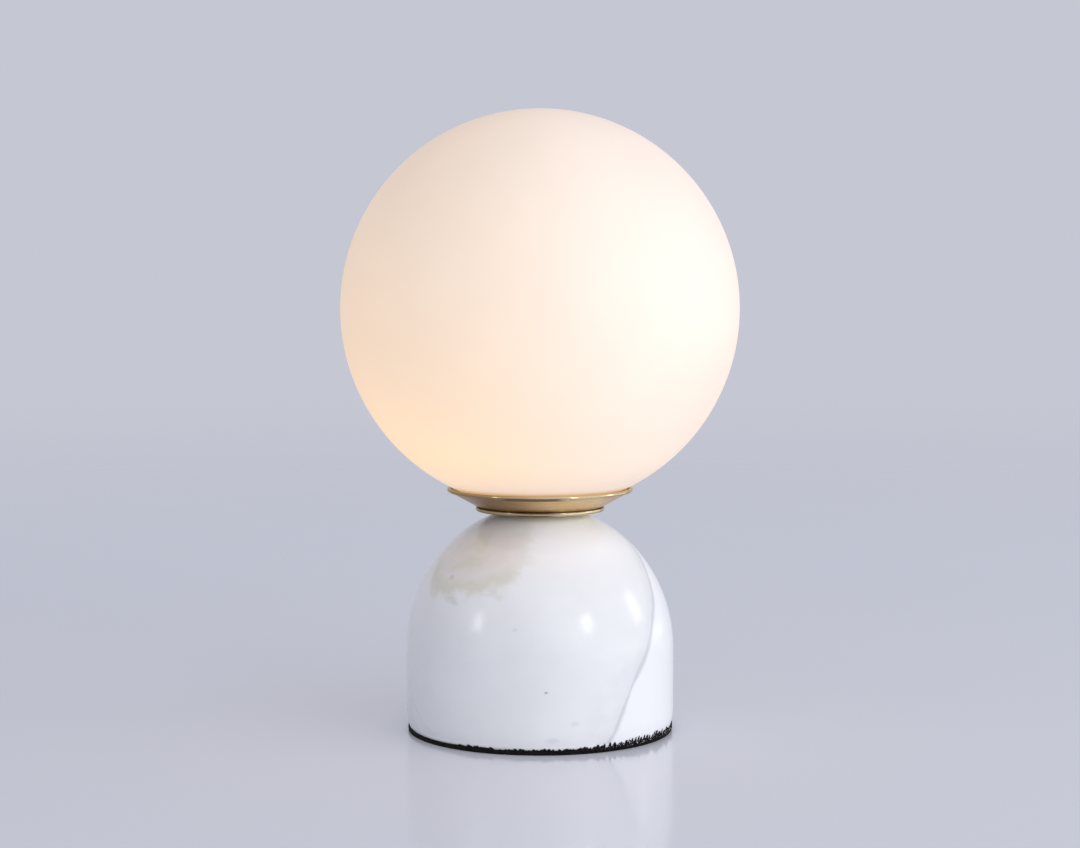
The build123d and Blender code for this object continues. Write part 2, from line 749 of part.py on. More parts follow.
# ---- Terminal screws: slotted grub screws, tips just short of the leads
with BuildPart() as terminal_screws:
    screw_start = block_bottom + barrel_screw_sink
    screw_tip = pole_height - lead_radius - thread_fit
    with BuildSketch(Plane.XY.offset(screw_start)):
        with Locations((0, block_middle)):
            with GridLocations(pole_pitch, barrel_length - 2 * barrel_screw_inset, 3, 2):
                Circle(barrel_screw_radius)
    extrude(amount=screw_tip - screw_start)
    with BuildSketch(Plane.XY.offset(screw_start)):
        with Locations((0, block_middle)):
            with GridLocations(pole_pitch, barrel_length - 2 * barrel_screw_inset, 3, 2):
                Rectangle(2 * barrel_screw_radius, screw_slot_width)
    extrude(amount=screw_slot_depth, mode=Mode.SUBTRACT)
terminal_screws.part.label = "terminal_screws"
export_step(terminal_screws.part, "parts/terminal_screws.step")


# ---- Block screws: between the poles, up into the clamp plate
with BuildPart() as block_screws:
    head_seat = block_bottom + block_slit_depth
    with BuildSketch(Plane.XY.offset(head_seat)):
        with Locations((0, block_middle)):
            with GridLocations(pole_pitch, 0, 2, 1):
                Circle(block_screw_radius)
    extrude(amount=recess_top - head_seat)
    with BuildSketch(Plane.XY.offset(head_seat)):
        with Locations((0, block_middle)):
            with GridLocations(pole_pitch, 0, 2, 1):
                Circle(block_screw_head_radius)
    extrude(amount=-block_screw_head)
    with BuildSketch(Plane.XY.offset(head_seat - block_screw_head)):
        with Locations((0, block_middle)):
            with GridLocations(pole_pitch, 0, 2, 1):
                Rectangle(2 * block_screw_head_radius, screw_slot_width)
    extrude(amount=screw_slot_depth, mode=Mode.SUBTRACT)
block_screws.part.label = "block_screws"
export_step(block_screws.part, "parts/block_screws.step")


# ---- Leads: each a round wire along straight runs joined by tangent arcs
def corner_radii(route):
    """Largest easy bend at each corner: 0.45 of the shorter run beside it."""
    corners = [Vector(*point) for point in route]
    radii = []
    for before, corner, after in zip(corners, corners[1:], corners[2:]):
        turn = math.radians((corner - before).get_angle(after - corner))
        shorter = min((corner - before).length, (after - corner).length)
        radii.append(0.45 * shorter / math.tan(turn / 2))
    return radii


lead_end = barrel_front + lead_in_barrel
block_front = block_back - block_length
bushing_bottom = rod_bottom - bushing_flange
lead_routes = {}
for lead_name, side in (("lead_live", -1), ("lead_neutral", 1)):
    lead_routes[lead_name] = [
        (side * pin_spacing / 2, 0, tail_bottom),
        (side * pin_spacing / 2, 0, tail_bottom - lead_straight),
        (side * lead_spread, 0, bracket_top + lead_gather),
        (side * lead_spread, 0, bushing_bottom - lead_below_bushing),
        (side * (lead_spread + lead_fan), lead_turn, pole_height + lead_turn_drop),
        (side * (lead_spread + pole_pitch) / 2, block_front - lead_fan_start, pole_height),
        (side * pole_pitch, block_front - lead_fan_end, pole_height),
        (side * pole_pitch, lead_end, pole_height),
    ]
lead_routes["lead_earth"] = [
    (0, tag_reach, tag_bottom),
    (0, tag_reach, pole_height),
    (0, lead_end, pole_height),
]
for lead_name, route in lead_routes.items():
    bends = corner_radii(route)
    print(lead_name, "bend radii", [round(bend, 1) for bend in bends])
    with BuildPart() as lead:
        with BuildLine() as lead_path:
            FilletPolyline(*route, radius=bends)
        with BuildSketch(Plane(origin=route[0], z_dir=Vector(*route[1]) - Vector(*route[0]))):
            Circle(lead_radius)
        sweep(path=lead_path.line)
    swept_volume = math.pi * lead_radius**2 * lead_path.wires()[0].length
    print(lead_name, "volume to section times length", round(lead.part.volume / swept_volume, 4))
    lead.part.label = lead_name
    export_step(lead.part, f"parts/{lead_name}.step")
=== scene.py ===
import math

import bpy
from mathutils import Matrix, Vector, noise


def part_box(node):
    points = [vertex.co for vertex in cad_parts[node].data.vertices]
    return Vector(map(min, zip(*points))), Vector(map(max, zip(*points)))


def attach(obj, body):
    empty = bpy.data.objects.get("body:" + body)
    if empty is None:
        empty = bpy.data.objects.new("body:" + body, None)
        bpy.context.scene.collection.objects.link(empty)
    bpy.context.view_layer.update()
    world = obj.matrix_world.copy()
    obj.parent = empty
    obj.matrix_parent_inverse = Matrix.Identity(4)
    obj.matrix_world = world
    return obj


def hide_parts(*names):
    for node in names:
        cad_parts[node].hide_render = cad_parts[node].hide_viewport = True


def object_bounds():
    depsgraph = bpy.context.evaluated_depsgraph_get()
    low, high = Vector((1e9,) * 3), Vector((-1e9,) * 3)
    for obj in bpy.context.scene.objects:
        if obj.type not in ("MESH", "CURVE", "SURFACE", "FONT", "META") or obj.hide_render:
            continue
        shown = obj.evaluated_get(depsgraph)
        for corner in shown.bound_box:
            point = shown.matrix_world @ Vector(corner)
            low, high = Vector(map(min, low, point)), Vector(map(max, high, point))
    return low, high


bl_info = {
    "name": "Glass Globe Table Lamp",
    "version": (1, 0, 0),
    "blender": (4, 5, 0),
    "location": "View3D > Sidebar > Globe Lamp",
    "description": "Opal globe, brass dish and marble base, with their finishes",
    "category": "Add Mesh",
}

MM = 0.001

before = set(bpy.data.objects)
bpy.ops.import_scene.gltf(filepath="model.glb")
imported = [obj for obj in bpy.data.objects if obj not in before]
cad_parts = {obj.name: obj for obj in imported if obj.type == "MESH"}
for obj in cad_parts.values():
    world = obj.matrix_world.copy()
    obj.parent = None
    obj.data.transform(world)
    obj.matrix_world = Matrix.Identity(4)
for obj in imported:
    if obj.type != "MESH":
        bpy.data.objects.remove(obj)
cad_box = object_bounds()
globe_low, globe_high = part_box("glass_globe")
stone_low, stone_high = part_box("marble_base")
pad_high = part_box("base_pad")[1]
disc_low, disc_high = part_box("brass_foot_disc")
dish_low, dish_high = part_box("brass_dish")


# ---- What a user can set


class LampSizes(bpy.types.PropertyGroup):
    globe_radius: bpy.props.FloatProperty(
        name="Globe radius", description="Outside of the glass", subtype="DISTANCE",
        unit="LENGTH", default=100 * MM)
    globe_wall: bpy.props.FloatProperty(
        name="Glass wall", description="Thickness of the glass", subtype="DISTANCE",
        unit="LENGTH", default=2.5 * MM)
    neck_radius: bpy.props.FloatProperty(
        name="Neck radius", description="Outside of the ground neck", subtype="DISTANCE",
        unit="LENGTH", default=30 * MM)
    stone_radius: bpy.props.FloatProperty(
        name="Stone radius", description="Widest circle of the marble", subtype="DISTANCE",
        unit="LENGTH", default=67.6 * MM)
    dome_half_height: bpy.props.FloatProperty(
        name="Dome", description="Half height of the dome's ellipse, uncut",
        subtype="DISTANCE", unit="LENGTH", default=72.3 * MM)
    stone_band: bpy.props.FloatProperty(
        name="Band", description="Underside of the stone to the start of its dome",
        subtype="DISTANCE", unit="LENGTH", default=39.4 * MM)
    stone_foot_height: bpy.props.FloatProperty(
        name="Foot height", description="The wall draws in over this height",
        subtype="DISTANCE", unit="LENGTH", default=10 * MM)
    stone_foot_inset: bpy.props.FloatProperty(
        name="Foot inset", description="How far the wall draws in at its foot",
        subtype="DISTANCE", unit="LENGTH", default=1.5 * MM)
    stone_edge: bpy.props.FloatProperty(
        name="Stone edge", description="Small bevel round the stone's underside",
        subtype="DISTANCE", unit="LENGTH", default=0.5 * MM)
    rim_bead: bpy.props.FloatProperty(
        name="Rim bead", description="Radius of the dish's rolled rim", subtype="DISTANCE",
        unit="LENGTH", default=1.0 * MM)
    dish_sheet: bpy.props.FloatProperty(
        name="Dish sheet", description="Thickness of the spun brass", subtype="DISTANCE",
        unit="LENGTH", default=1.2 * MM)
    dish_floor_radius: bpy.props.FloatProperty(
        name="Dish floor", description="Where the floor bends up into the cone",
        subtype="DISTANCE", unit="LENGTH", default=31.3 * MM)
    glue_height: bpy.props.FloatProperty(
        name="Glue height", description="How far the glue crumbs climb the stone",
        subtype="DISTANCE", unit="LENGTH", default=2.8 * MM)


class LampColours(bpy.types.PropertyGroup):
    marble: bpy.props.FloatVectorProperty(
        name="Marble", description="Clean stone", subtype="COLOR", default=(0.852, 0.862, 0.873))
    marble_cloud: bpy.props.FloatVectorProperty(
        name="Marble cloud", description="Warm cloud in the stone", subtype="COLOR",
        default=(0.735, 0.67, 0.615))
    marble_stain: bpy.props.FloatVectorProperty(
        name="Marble stain", description="Edge of the warm cloud", subtype="COLOR",
        default=(0.65, 0.63, 0.50))
    marble_mark: bpy.props.FloatVectorProperty(
        name="Marble marks", description="Small dark marks", subtype="COLOR",
        default=(0.24, 0.26, 0.24))
    marble_vein: bpy.props.FloatVectorProperty(
        name="Marble vein", description="Thin veins", subtype="COLOR",
        default=(0.54, 0.56, 0.60))
    brass: bpy.props.FloatVectorProperty(
        name="Brass", description="Spun dish", subtype="COLOR", default=(0.79, 0.545, 0.28))
    polish: bpy.props.FloatVectorProperty(
        name="Polished brass", description="Rim bead and foot disc", subtype="COLOR",
        default=(0.84, 0.73, 0.47))
    # Oxide in the brass's hollows, with painted shade and painted reflection in the same corners
    tarnish_and_shade: bpy.props.FloatVectorProperty(
        name="Tarnish", description="Dark oxide in the corners", subtype="COLOR",
        default=(0.09, 0.034, 0.004))
    glass: bpy.props.FloatVectorProperty(
        name="Opal glass", description="Glass by daylight", subtype="COLOR",
        default=(0.742, 0.71, 0.672))
    glow: bpy.props.FloatVectorProperty(
        name="Lamp light", description="Light of the bulb through the glass",
        subtype="COLOR", default=(1.0, 0.585, 0.19))
    glow_pale: bpy.props.FloatVectorProperty(
        name="Lamp light at the window", description="The same light, where daylight pales it",
        subtype="COLOR", default=(1.0, 0.65, 0.36))
    floor: bpy.props.FloatVectorProperty(
        name="Floor", description="Pale table top", subtype="COLOR", default=(0.780, 0.794, 0.842))
    studio: bpy.props.FloatVectorProperty(
        name="Studio", description="Air round the lamp", subtype="COLOR",
        default=(0.558, 0.572, 0.651))


class LampStage(bpy.types.PropertyGroup):
    camera_distance: bpy.props.FloatProperty(
        name="Camera distance", description="In front of the lamp's axis",
        subtype="DISTANCE", unit="LENGTH", default=1200 * MM)
    camera_height: bpy.props.FloatProperty(
        name="Camera height", description="Above the table", subtype="DISTANCE",
        unit="LENGTH", default=249.5 * MM)
    camera_pitch: bpy.props.FloatProperty(
        name="Camera pitch", description="Downwards", subtype="ANGLE",
        default=math.radians(4.506))
    lens: bpy.props.FloatProperty(
        name="Lens", description="Focal length on a 36 mm sensor, in millimetres",
        default=79.6)


# ---- Modelling helpers

TURN_STEPS = 192


def deselect_all():
    if bpy.context.object and bpy.context.object.mode != "OBJECT":
        bpy.ops.object.mode_set(mode="OBJECT")
    bpy.ops.object.select_all(action="DESELECT")


def arc(center, radius, start, end, steps):
    """Points of a circular arc in (radius, height), angles in degrees."""
    points = []
    for step in range(steps + 1):
        angle = math.radians(start + (end - start) * step / steps)
        points.append((center[0] + radius * math.cos(angle), center[1] + radius * math.sin(angle)))
    return points


def turned(name, outline, steps=TURN_STEPS):
    """Draw an outline of (radius, height) by extruding a vertex, then spin it round the axis."""
    deselect_all()
    bpy.ops.mesh.primitive_plane_add(size=MM)
    piece = bpy.context.object
    piece.name = name
    bpy.ops.object.mode_set(mode="EDIT")
    bpy.ops.mesh.merge(type="CENTER")
    bpy.ops.transform.translate(value=(outline[0][0], 0, outline[0][1]))
    for before, after in zip(outline, outline[1:]):
        step = (after[0] - before[0], 0, after[1] - before[1])
        bpy.ops.mesh.extrude_region_move(TRANSFORM_OT_translate={"value": step})
    bpy.ops.mesh.select_all(action="SELECT")
    bpy.ops.mesh.spin(steps=steps, angle=math.tau, center=(0, 0, 0), axis=(0, 0, 1))
    bpy.ops.mesh.select_all(action="SELECT")
    bpy.ops.mesh.remove_doubles(threshold=0.002 * MM)
    bpy.ops.mesh.normals_make_consistent(inside=False)
    bpy.ops.object.mode_set(mode="OBJECT")
    bpy.ops.object.shade_smooth_by_angle(angle=math.radians(35))
    return piece


def apply_place(piece):
    """Leave the finished piece's object at the origin, with its place in its mesh."""
    deselect_all()
    piece.select_set(True)
    bpy.context.view_layer.objects.active = piece
    bpy.ops.object.transform_apply(location=True, rotation=True, scale=True)


def finish_piece(piece, body, slot, nodes, *materials):
    """Give a piece its materials and its body, and hide the nodes that it stands for; its slot is not used.
    """
    apply_place(piece)
    for material in materials:
        piece.data.materials.append(material)
    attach(piece, body)
    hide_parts(*nodes)


# ---- Node helpers


def node(tree, kind, inputs=None, **settings):
    """Add a node; inputs are values or sockets to link, by name or number."""
    made = tree.nodes.new(kind)
    for name, value in settings.items():
        setattr(made, name, value)
    for name, value in (inputs or {}).items():
        if isinstance(value, bpy.types.NodeSocket):
            tree.links.new(value, made.inputs[name])
        else:
            made.inputs[name].default_value = value
    return made


def calculate(tree, operation, a, b=0.0):
    """The result of a Math node."""
    return node(tree, "ShaderNodeMath", {0: a, 1: b}, operation=operation).outputs[0]


def vector(tree, operation, a, b=(0, 0, 0), output="Vector"):
    """The result of a Vector Math node, which is its Value for a length or a dot product."""
    made = node(tree, "ShaderNodeVectorMath", {0: a, 1: b}, operation=operation)
    return made.outputs[output]


def remap(tree, value, low, high, to_low=0.0, to_high=1.0):
    """Ease a value from one range into another, and hold it beyond the ends."""
    inputs = {"Value": value, "From Min": low, "From Max": high, "To Min": to_low, "To Max": to_high}
    return node(tree, "ShaderNodeMapRange", inputs, interpolation_type="SMOOTHSTEP").outputs[0]


def mix_colour(tree, factor, a, b):
    """Mix two colours; a Mix node keeps them in its inputs 6 and 7, and the result in output 2."""
    made = node(tree, "ShaderNodeMix", data_type="RGBA")
    for number, value in ((0, factor), (6, a), (7, b)):
        if isinstance(value, bpy.types.NodeSocket):
            tree.links.new(value, made.inputs[number])
        else:
            made.inputs[number].default_value = value if number == 0 else (*value[:3], 1.0)
    return made.outputs[2]


def noise_field(tree, place, scale, detail=3.0, roughness=0.5):
    """Noise, 0 to 1 and mostly near 0.5."""
    inputs = {"Vector": place, "Scale": scale, "Detail": detail, "Roughness": roughness}
    return node(tree, "ShaderNodeTexNoise", inputs).outputs[0]


def sway(tree, field, amount):
    """Noise made a shift to either side, by up to half the amount."""
    return calculate(tree, "MULTIPLY", calculate(tree, "SUBTRACT", field, 0.5), amount)


def size_to_scale(tree, size):
    return calculate(tree, "DIVIDE", 1.0, size)


def new_group(name, inputs, outputs):
    """An empty shader group with named sockets, each (name, kind, default)."""
    tree = bpy.data.node_groups.new(name, "ShaderNodeTree")
    for label, kind, default in inputs:
        socket = tree.interface.new_socket(label, in_out="INPUT", socket_type=kind)
        socket.default_value = default
    for label, kind in outputs:
        tree.interface.new_socket(label, in_out="OUTPUT", socket_type=kind)
    return tree, tree.nodes.new("NodeGroupInput").outputs, tree.nodes.new("NodeGroupOutput").inputs


def use_group(tree, name, inputs):
    """Place a shader group in a tree, with its inputs by name."""
    made = node(tree, "ShaderNodeGroup")
    made.node_tree = bpy.data.node_groups[name]
    for label, value in inputs.items():
        if isinstance(value, bpy.types.NodeSocket):
            tree.links.new(value, made.inputs[label])
        else:
            made.inputs[label].default_value = value
    return made.outputs


FLOAT = "NodeSocketFloat"
VECTOR = "NodeSocketVector"


def group_mottle():
    """Soft uneven tone, 0 to 1, at a size in millimetres, with a fine grain height."""
    tree, given, out = new_group(
        "surface_mottle",
        [("Place", VECTOR, (0, 0, 0)), ("Patch size", FLOAT, 20.0), ("Grain size", FLOAT, 0.5)],
        [("Tone", FLOAT), ("Grain", FLOAT)],
    )
    patch = noise_field(tree, given["Place"], size_to_scale(tree, given["Patch size"]), 4)
    grain = noise_field(tree, given["Place"], size_to_scale(tree, given["Grain size"]), 2)
    tree.links.new(remap(tree, patch, 0.3, 0.7), out["Tone"])
    tree.links.new(grain, out["Grain"])


def group_spun_rings():
    """Fine lathe lines round the lamp's axis."""
    tree, given, out = new_group(
        "spun_rings",
        [("Place", VECTOR, (0, 0, 0)), ("Line width", FLOAT, 0.25)],
        [("Lines", FLOAT), ("Bands", FLOAT)],
    )
    flat = vector(tree, "MULTIPLY", given["Place"], (1, 1, 0))
    radius = vector(tree, "LENGTH", flat, output="Value")
    height = node(tree, "ShaderNodeSeparateXYZ", {0: given["Place"]}).outputs["Z"]
    along = calculate(tree, "DIVIDE", calculate(tree, "ADD", radius, height), given["Line width"])
    lines, bands = (
        node(tree, "ShaderNodeTexNoise", {"W": along, "Scale": scale, "Detail": 1.0},
             noise_dimensions="1D").outputs[0]
        for scale in (1.0, 0.07)
    )
    tree.links.new(lines, out["Lines"])
    tree.links.new(remap(tree, bands, 0.35, 0.65), out["Bands"])


def group_bulb_glow():
    """Light that reaches the glass from the bulb: an even share and one by angle and distance."""
    shade_depth, shaded_share = 34.0, 0.55
    tree, given, out = new_group(
        "bulb_glow",
        [("Place", VECTOR, (0, 0, 0)), ("Bulb", VECTOR, (0, 0, 180)),
         ("Globe middle", VECTOR, (0, 0, 213)), ("Globe radius", FLOAT, 100.0),
         ("Even share", FLOAT, 0.1), ("Direct share", FLOAT, 0.4), ("Shaded below", FLOAT, 150.0)],
        [("Glow", FLOAT)],
    )
    ray = vector(tree, "SUBTRACT", given["Place"], given["Bulb"])
    distance = vector(tree, "LENGTH", ray, output="Value")
    outward = vector(tree, "NORMALIZE", vector(tree, "SUBTRACT", given["Place"], given["Globe middle"]))
    facing = vector(tree, "DOT_PRODUCT", vector(tree, "NORMALIZE", ray), outward, output="Value")
    nearness = calculate(tree, "POWER", calculate(tree, "DIVIDE", given["Globe radius"], distance), 2.0)
    arriving = calculate(tree, "MULTIPLY", facing, nearness)
    direct = calculate(tree, "MULTIPLY", arriving, given["Direct share"])
    light = calculate(tree, "ADD", direct, given["Even share"])
    height = node(tree, "ShaderNodeSeparateXYZ", {0: given["Place"]}).outputs["Z"]
    below = calculate(tree, "SUBTRACT", given["Shaded below"], height)
    open_share = remap(tree, below, 0.0, shade_depth, 1.0, shaded_share)
    tree.links.new(calculate(tree, "MULTIPLY", light, open_share), out["Glow"])


def group_stone_vein():
    """A curved sheet through the stone: its thin line, a soft shade beside it, and its inner side."""
    tree, given, out = new_group(
        "stone_vein",
        [("Place", VECTOR, (0, 0, 0)), ("Sheet centre", VECTOR, (0, 0, 0)),
         ("Sheet radius", FLOAT, 100.0), ("Wander", FLOAT, 4.0), ("Wander size", FLOAT, 40.0),
         ("Width", FLOAT, 0.6)],
        [("Line", FLOAT), ("Shade", FLOAT), ("Inside", FLOAT)],
    )
    reach = vector(tree, "LENGTH", vector(tree, "SUBTRACT", given["Place"], given["Sheet centre"]),
                   output="Value")
    straight = calculate(tree, "SUBTRACT", reach, given["Sheet radius"])
    wave = noise_field(tree, given["Place"], size_to_scale(tree, given["Wander size"]))
    distance = calculate(tree, "ADD", straight, sway(tree, wave, given["Wander"]))
    thick = noise_field(tree, given["Place"], 0.06)
    thin_to_thick = remap(tree, thick, 0.35, 0.65, 0.45, 1.7)
    width = calculate(tree, "MULTIPLY", given["Width"], thin_to_thick)
    near = calculate(tree, "DIVIDE", calculate(tree, "ABSOLUTE", distance), width)
    tree.links.new(remap(tree, near, 0.0, 1.3, 1.0, 0.0), out["Line"])
    beside = calculate(tree, "DIVIDE", distance, calculate(tree, "MULTIPLY", width, 10.0))
    shade = calculate(tree, "MULTIPLY", remap(tree, beside, 0.0, 1.0, 1.0, 0.0),
                      remap(tree, near, -0.5, 0.5, 0.0, 1.0))
    outside = remap(tree, distance, -0.5, 0.5)
    tree.links.new(calculate(tree, "MULTIPLY", shade, outside), out["Shade"])
    tree.links.new(remap(tree, distance, 0.5, -2.5), out["Inside"])


def group_specks():
    """Sparse round specks: most cells of the stone hold none."""
    tree, given, out = new_group(
        "specks",
        [("Place", VECTOR, (0, 0, 0)), ("Spacing", FLOAT, 12.0), ("Size", FLOAT, 0.05)],
        [("Specks", FLOAT)],
    )
    cells = node(tree, "ShaderNodeTexVoronoi", {
        "Vector": given["Place"], "Scale": size_to_scale(tree, given["Spacing"])})
    keep = node(tree, "ShaderNodeSeparateColor", {0: cells.outputs["Color"]}).outputs[0]
    size = calculate(tree, "MULTIPLY", given["Size"], remap(tree, keep, 0.6, 1.0))
    near = calculate(tree, "DIVIDE", cells.outputs["Distance"], calculate(tree, "MAXIMUM", size, 0.0001))
    tree.links.new(remap(tree, near, 0.5, 1.0, 1.0, 0.0), out["Specks"])


def mottled(tree, place, patch, grain):
    """Tone and grain of a surface, with its patch and grain sizes in millimetres."""
    return use_group(tree, "surface_mottle", {"Place": place, "Patch size": patch, "Grain size": grain})


def dimmed(colour, share):
    return [channel * share for channel in colour]


def new_material(name):
    """A material's tree, its shader and the object's own place in millimetres."""
    material = bpy.data.materials.new(name)
    material.use_nodes = True
    tree = material.node_tree
    shader = tree.nodes["Principled BSDF"]
    place = node(tree, "ShaderNodeTexCoord").outputs["Object"]
    millimetres = vector(tree, "MULTIPLY", place, [1 / MM] * 3)
    return material, tree, shader, millimetres


def set_colour(tree, shader, tone, colour, share):
    """Base colour, dimmed to a share of itself where the tone is low."""
    tree.links.new(mix_colour(tree, tone, dimmed(colour, share), colour), shader.inputs["Base Color"])


def set_roughness(tree, shader, tone, low, high):
    """Roughness, from one value to the other as the tone rises."""
    tree.links.new(remap(tree, tone, 0.0, 1.0, low, high), shader.inputs["Roughness"])


def bump(tree, shader, height, depth, strength):
    """Raise the surface by a height, with the depth in millimetres."""
    made = node(tree, "ShaderNodeBump", {"Height": height, "Strength": strength, "Distance": depth * MM})
    tree.links.new(made.outputs[0], shader.inputs["Normal"])


# ---- Finishes


def opal_glass(colours, radius):
    """Satin opal glass, its radius in millimetres; the bulb glows through it low at the left."""
    material, tree, shader, place = new_material("opal_glass")
    low, middle = globe_low.z / MM, globe_high.z / MM - radius
    glow = use_group(tree, "bulb_glow", {
        "Place": place, "Bulb": (-16, -12, middle - 34), "Globe middle": (0, 0, middle),
        "Globe radius": radius, "Even share": 0.175, "Direct share": 0.205,
        "Shaded below": low + 30})["Glow"]
    mottle = mottled(tree, place, 60.0, 0.4)
    uneven = remap(tree, mottle["Tone"], 0.0, 1.0, 0.97, 1.03)
    light = calculate(tree, "MULTIPLY", glow, uneven)
    parts = node(tree, "ShaderNodeSeparateXYZ", {0: place}).outputs
    window_side = remap(tree, parts["X"], -40.0, 60.0)
    near_neck = remap(tree, parts["Z"], low + 26.0, low + 3.0)
    pale = calculate(tree, "MAXIMUM", window_side, near_neck)
    tint = mix_colour(tree, pale, colours.glow, colours.glow_pale)
    tree.links.new(mix_colour(tree, light, (0, 0, 0), tint), shader.inputs["Emission Color"])
    shader.inputs["Emission Strength"].default_value = 1.0
    set_colour(tree, shader, mottle["Tone"], colours.glass, 0.985)
    set_roughness(tree, shader, mottle["Tone"], 0.44, 0.5)
    bump(tree, shader, mottle["Grain"], 0.01, 0.2)
    return material


def blot(tree, place, middle, size, ragged, wobble=0.8):
    """Ragged oval blot: how far out a point is, 1 at its edge."""
    from_middle = vector(tree, "SUBTRACT", place, middle)
    near = vector(tree, "LENGTH", vector(tree, "DIVIDE", from_middle, size), output="Value")
    rough = noise_field(tree, place, ragged, 4, 0.6)
    return calculate(tree, "ADD", near, sway(tree, rough, wobble))


def stone_ground(tree, parts, drift, colours):
    """Clean stone with soft drifts, and painted light: a whiter top towards the right, from a wavering
    border, that lifts the shade under the dish.
    """
    soft, painted_light_white = dimmed(colours.marble, 0.955), (0.95, 0.95, 0.96)
    tone = mix_colour(tree, remap(tree, drift, 0.35, 0.65), soft, colours.marble)
    wavering = calculate(tree, "ADD", parts["X"], calculate(tree, "MULTIPLY", drift, 16.0))
    # Painted light: the top is whiter towards the right, where the dish shades it
    painted_light_top = calculate(tree, "MULTIPLY", remap(tree, parts["Z"], 84.0, 104.0),
                      remap(tree, wavering, -16.0, 12.0))
    return mix_colour(tree, calculate(tree, "MULTIPLY", painted_light_top, 0.9), tone, painted_light_white)


def stone_cloud(tree, place, parts, tone, colours):
    """Lay the warm cloud over a tone; its stained edge is strongest along its lower side."""
    near_cloud = blot(tree, place, (-31, -34, 92), (30, 27, 20.5), 0.045, 0.9)
    fine = noise_field(tree, place, 0.16, 5, 0.6)
    cloud = calculate(tree, "ADD", near_cloud, sway(tree, fine, 0.4))
    hue = remap(tree, noise_field(tree, place, 0.06), 0.48, 0.62)
    warm = mix_colour(tree, hue, colours.marble_cloud, colours.marble_stain)
    tone = mix_colour(tree, remap(tree, cloud, 0.4, 1.25, 0.68, 0.0), tone, warm)
    edge = calculate(tree, "ABSOLUTE", calculate(tree, "SUBTRACT", cloud, 0.92))
    lower = remap(tree, parts["Z"], 92.0, 84.0, 0.25, 1.0)
    warm_edge = calculate(tree, "MULTIPLY", remap(tree, edge, 0.0, 0.3, 0.6, 0.0), lower)
    return mix_colour(tree, warm_edge, tone, colours.marble_stain)


def stone_veins(tree, place, parts, tone, main_vein, grey):
    """Lay the main vein over a tone, then the faint ones low at the left and behind."""
    tone = mix_colour(tree, calculate(tree, "MULTIPLY", main_vein["Shade"], 0.2), tone, grey)
    tone = mix_colour(tree, calculate(tree, "MULTIPLY", main_vein["Line"], 0.64), tone, grey)
    behind = remap(tree, parts["Y"], -6.0, 14.0)
    low_left = remap(tree, blot(tree, place, (-60, -30, 16), (17, 22, 19), 0.05), 0.7, 1.2, 1.0, 0.0)
    # Each vein's sheet centre, sheet radius, width, strength and where it shows
    faint_veins = (
        ((-5.5, -12.1, 30), 60.0, 0.5, 0.16, low_left),
        ((150, 80, 182), 200.0, 0.7, 0.36, behind),
        ((-177, 95, 194), 240.0, 0.55, 0.24, behind),
        ((48, 86, 267), 260.0, 0.9, 0.2, behind),
    )
    for centre, radius, width, share, where in faint_veins:
        vein = use_group(tree, "stone_vein", {
            "Place": place, "Sheet centre": centre, "Sheet radius": radius, "Wander": 9.0,
            "Wander size": 35.0, "Width": width})
        for mask, strength in (("Line", share), ("Shade", share * 0.3)):
            seen = calculate(tree, "MULTIPLY", calculate(tree, "MULTIPLY", vein[mask], strength), where)
            tone = mix_colour(tree, seen, tone, grey)
    return tone


def stone_marks(tree, place, tone, colours):
    """Lay the small marks of the front over a tone, then the specks all over."""
    dark, grey, rust = colours.marble_mark, colours.marble_vein, (0.55, 0.38, 0.27)
    # Each mark's middle, half size, strength and colour
    marks = (
        ((2.9, -67.5, 30.7), (1.1, 1.1, 0.7), 0.75, dark),
        ((-44.0, -42.5, 72.0), (5.5, 5.5, 1.9), 0.14, dark),
        ((-41.5, -45.9, 70.7), (2.6, 2.6, 1.3), 0.14, dark),
        ((-12, -64, 60.7), (1.6, 1.6, 1.1), 0.14, dark),
        ((-26.6, -10.3, 107), (7.0, 7.0, 3.5), 0.25, dark),
        ((-43.3, -35.2, 82.2), (2.2, 2.2, 1.8), 0.3, rust),
        ((16.8, -65.5, 15.2), (3.0, 3.0, 1.5), 0.3, grey),
        ((6.0, -66.9, 7.2), (5.0, 3.0, 1.8), 0.3, grey),
    )
    for middle, size, share, colour in marks:
        mark = blot(tree, place, middle, size, 0.8 / size[0], 1.0)
        tone = mix_colour(tree, remap(tree, mark, 0.3, 1.1, share, 0.0), tone, colour)
    specks = use_group(tree, "specks", {"Place": place, "Spacing": 26.0, "Size": 0.022})["Specks"]
    return mix_colour(tree, calculate(tree, "MULTIPLY", specks, 0.3), tone, dark)


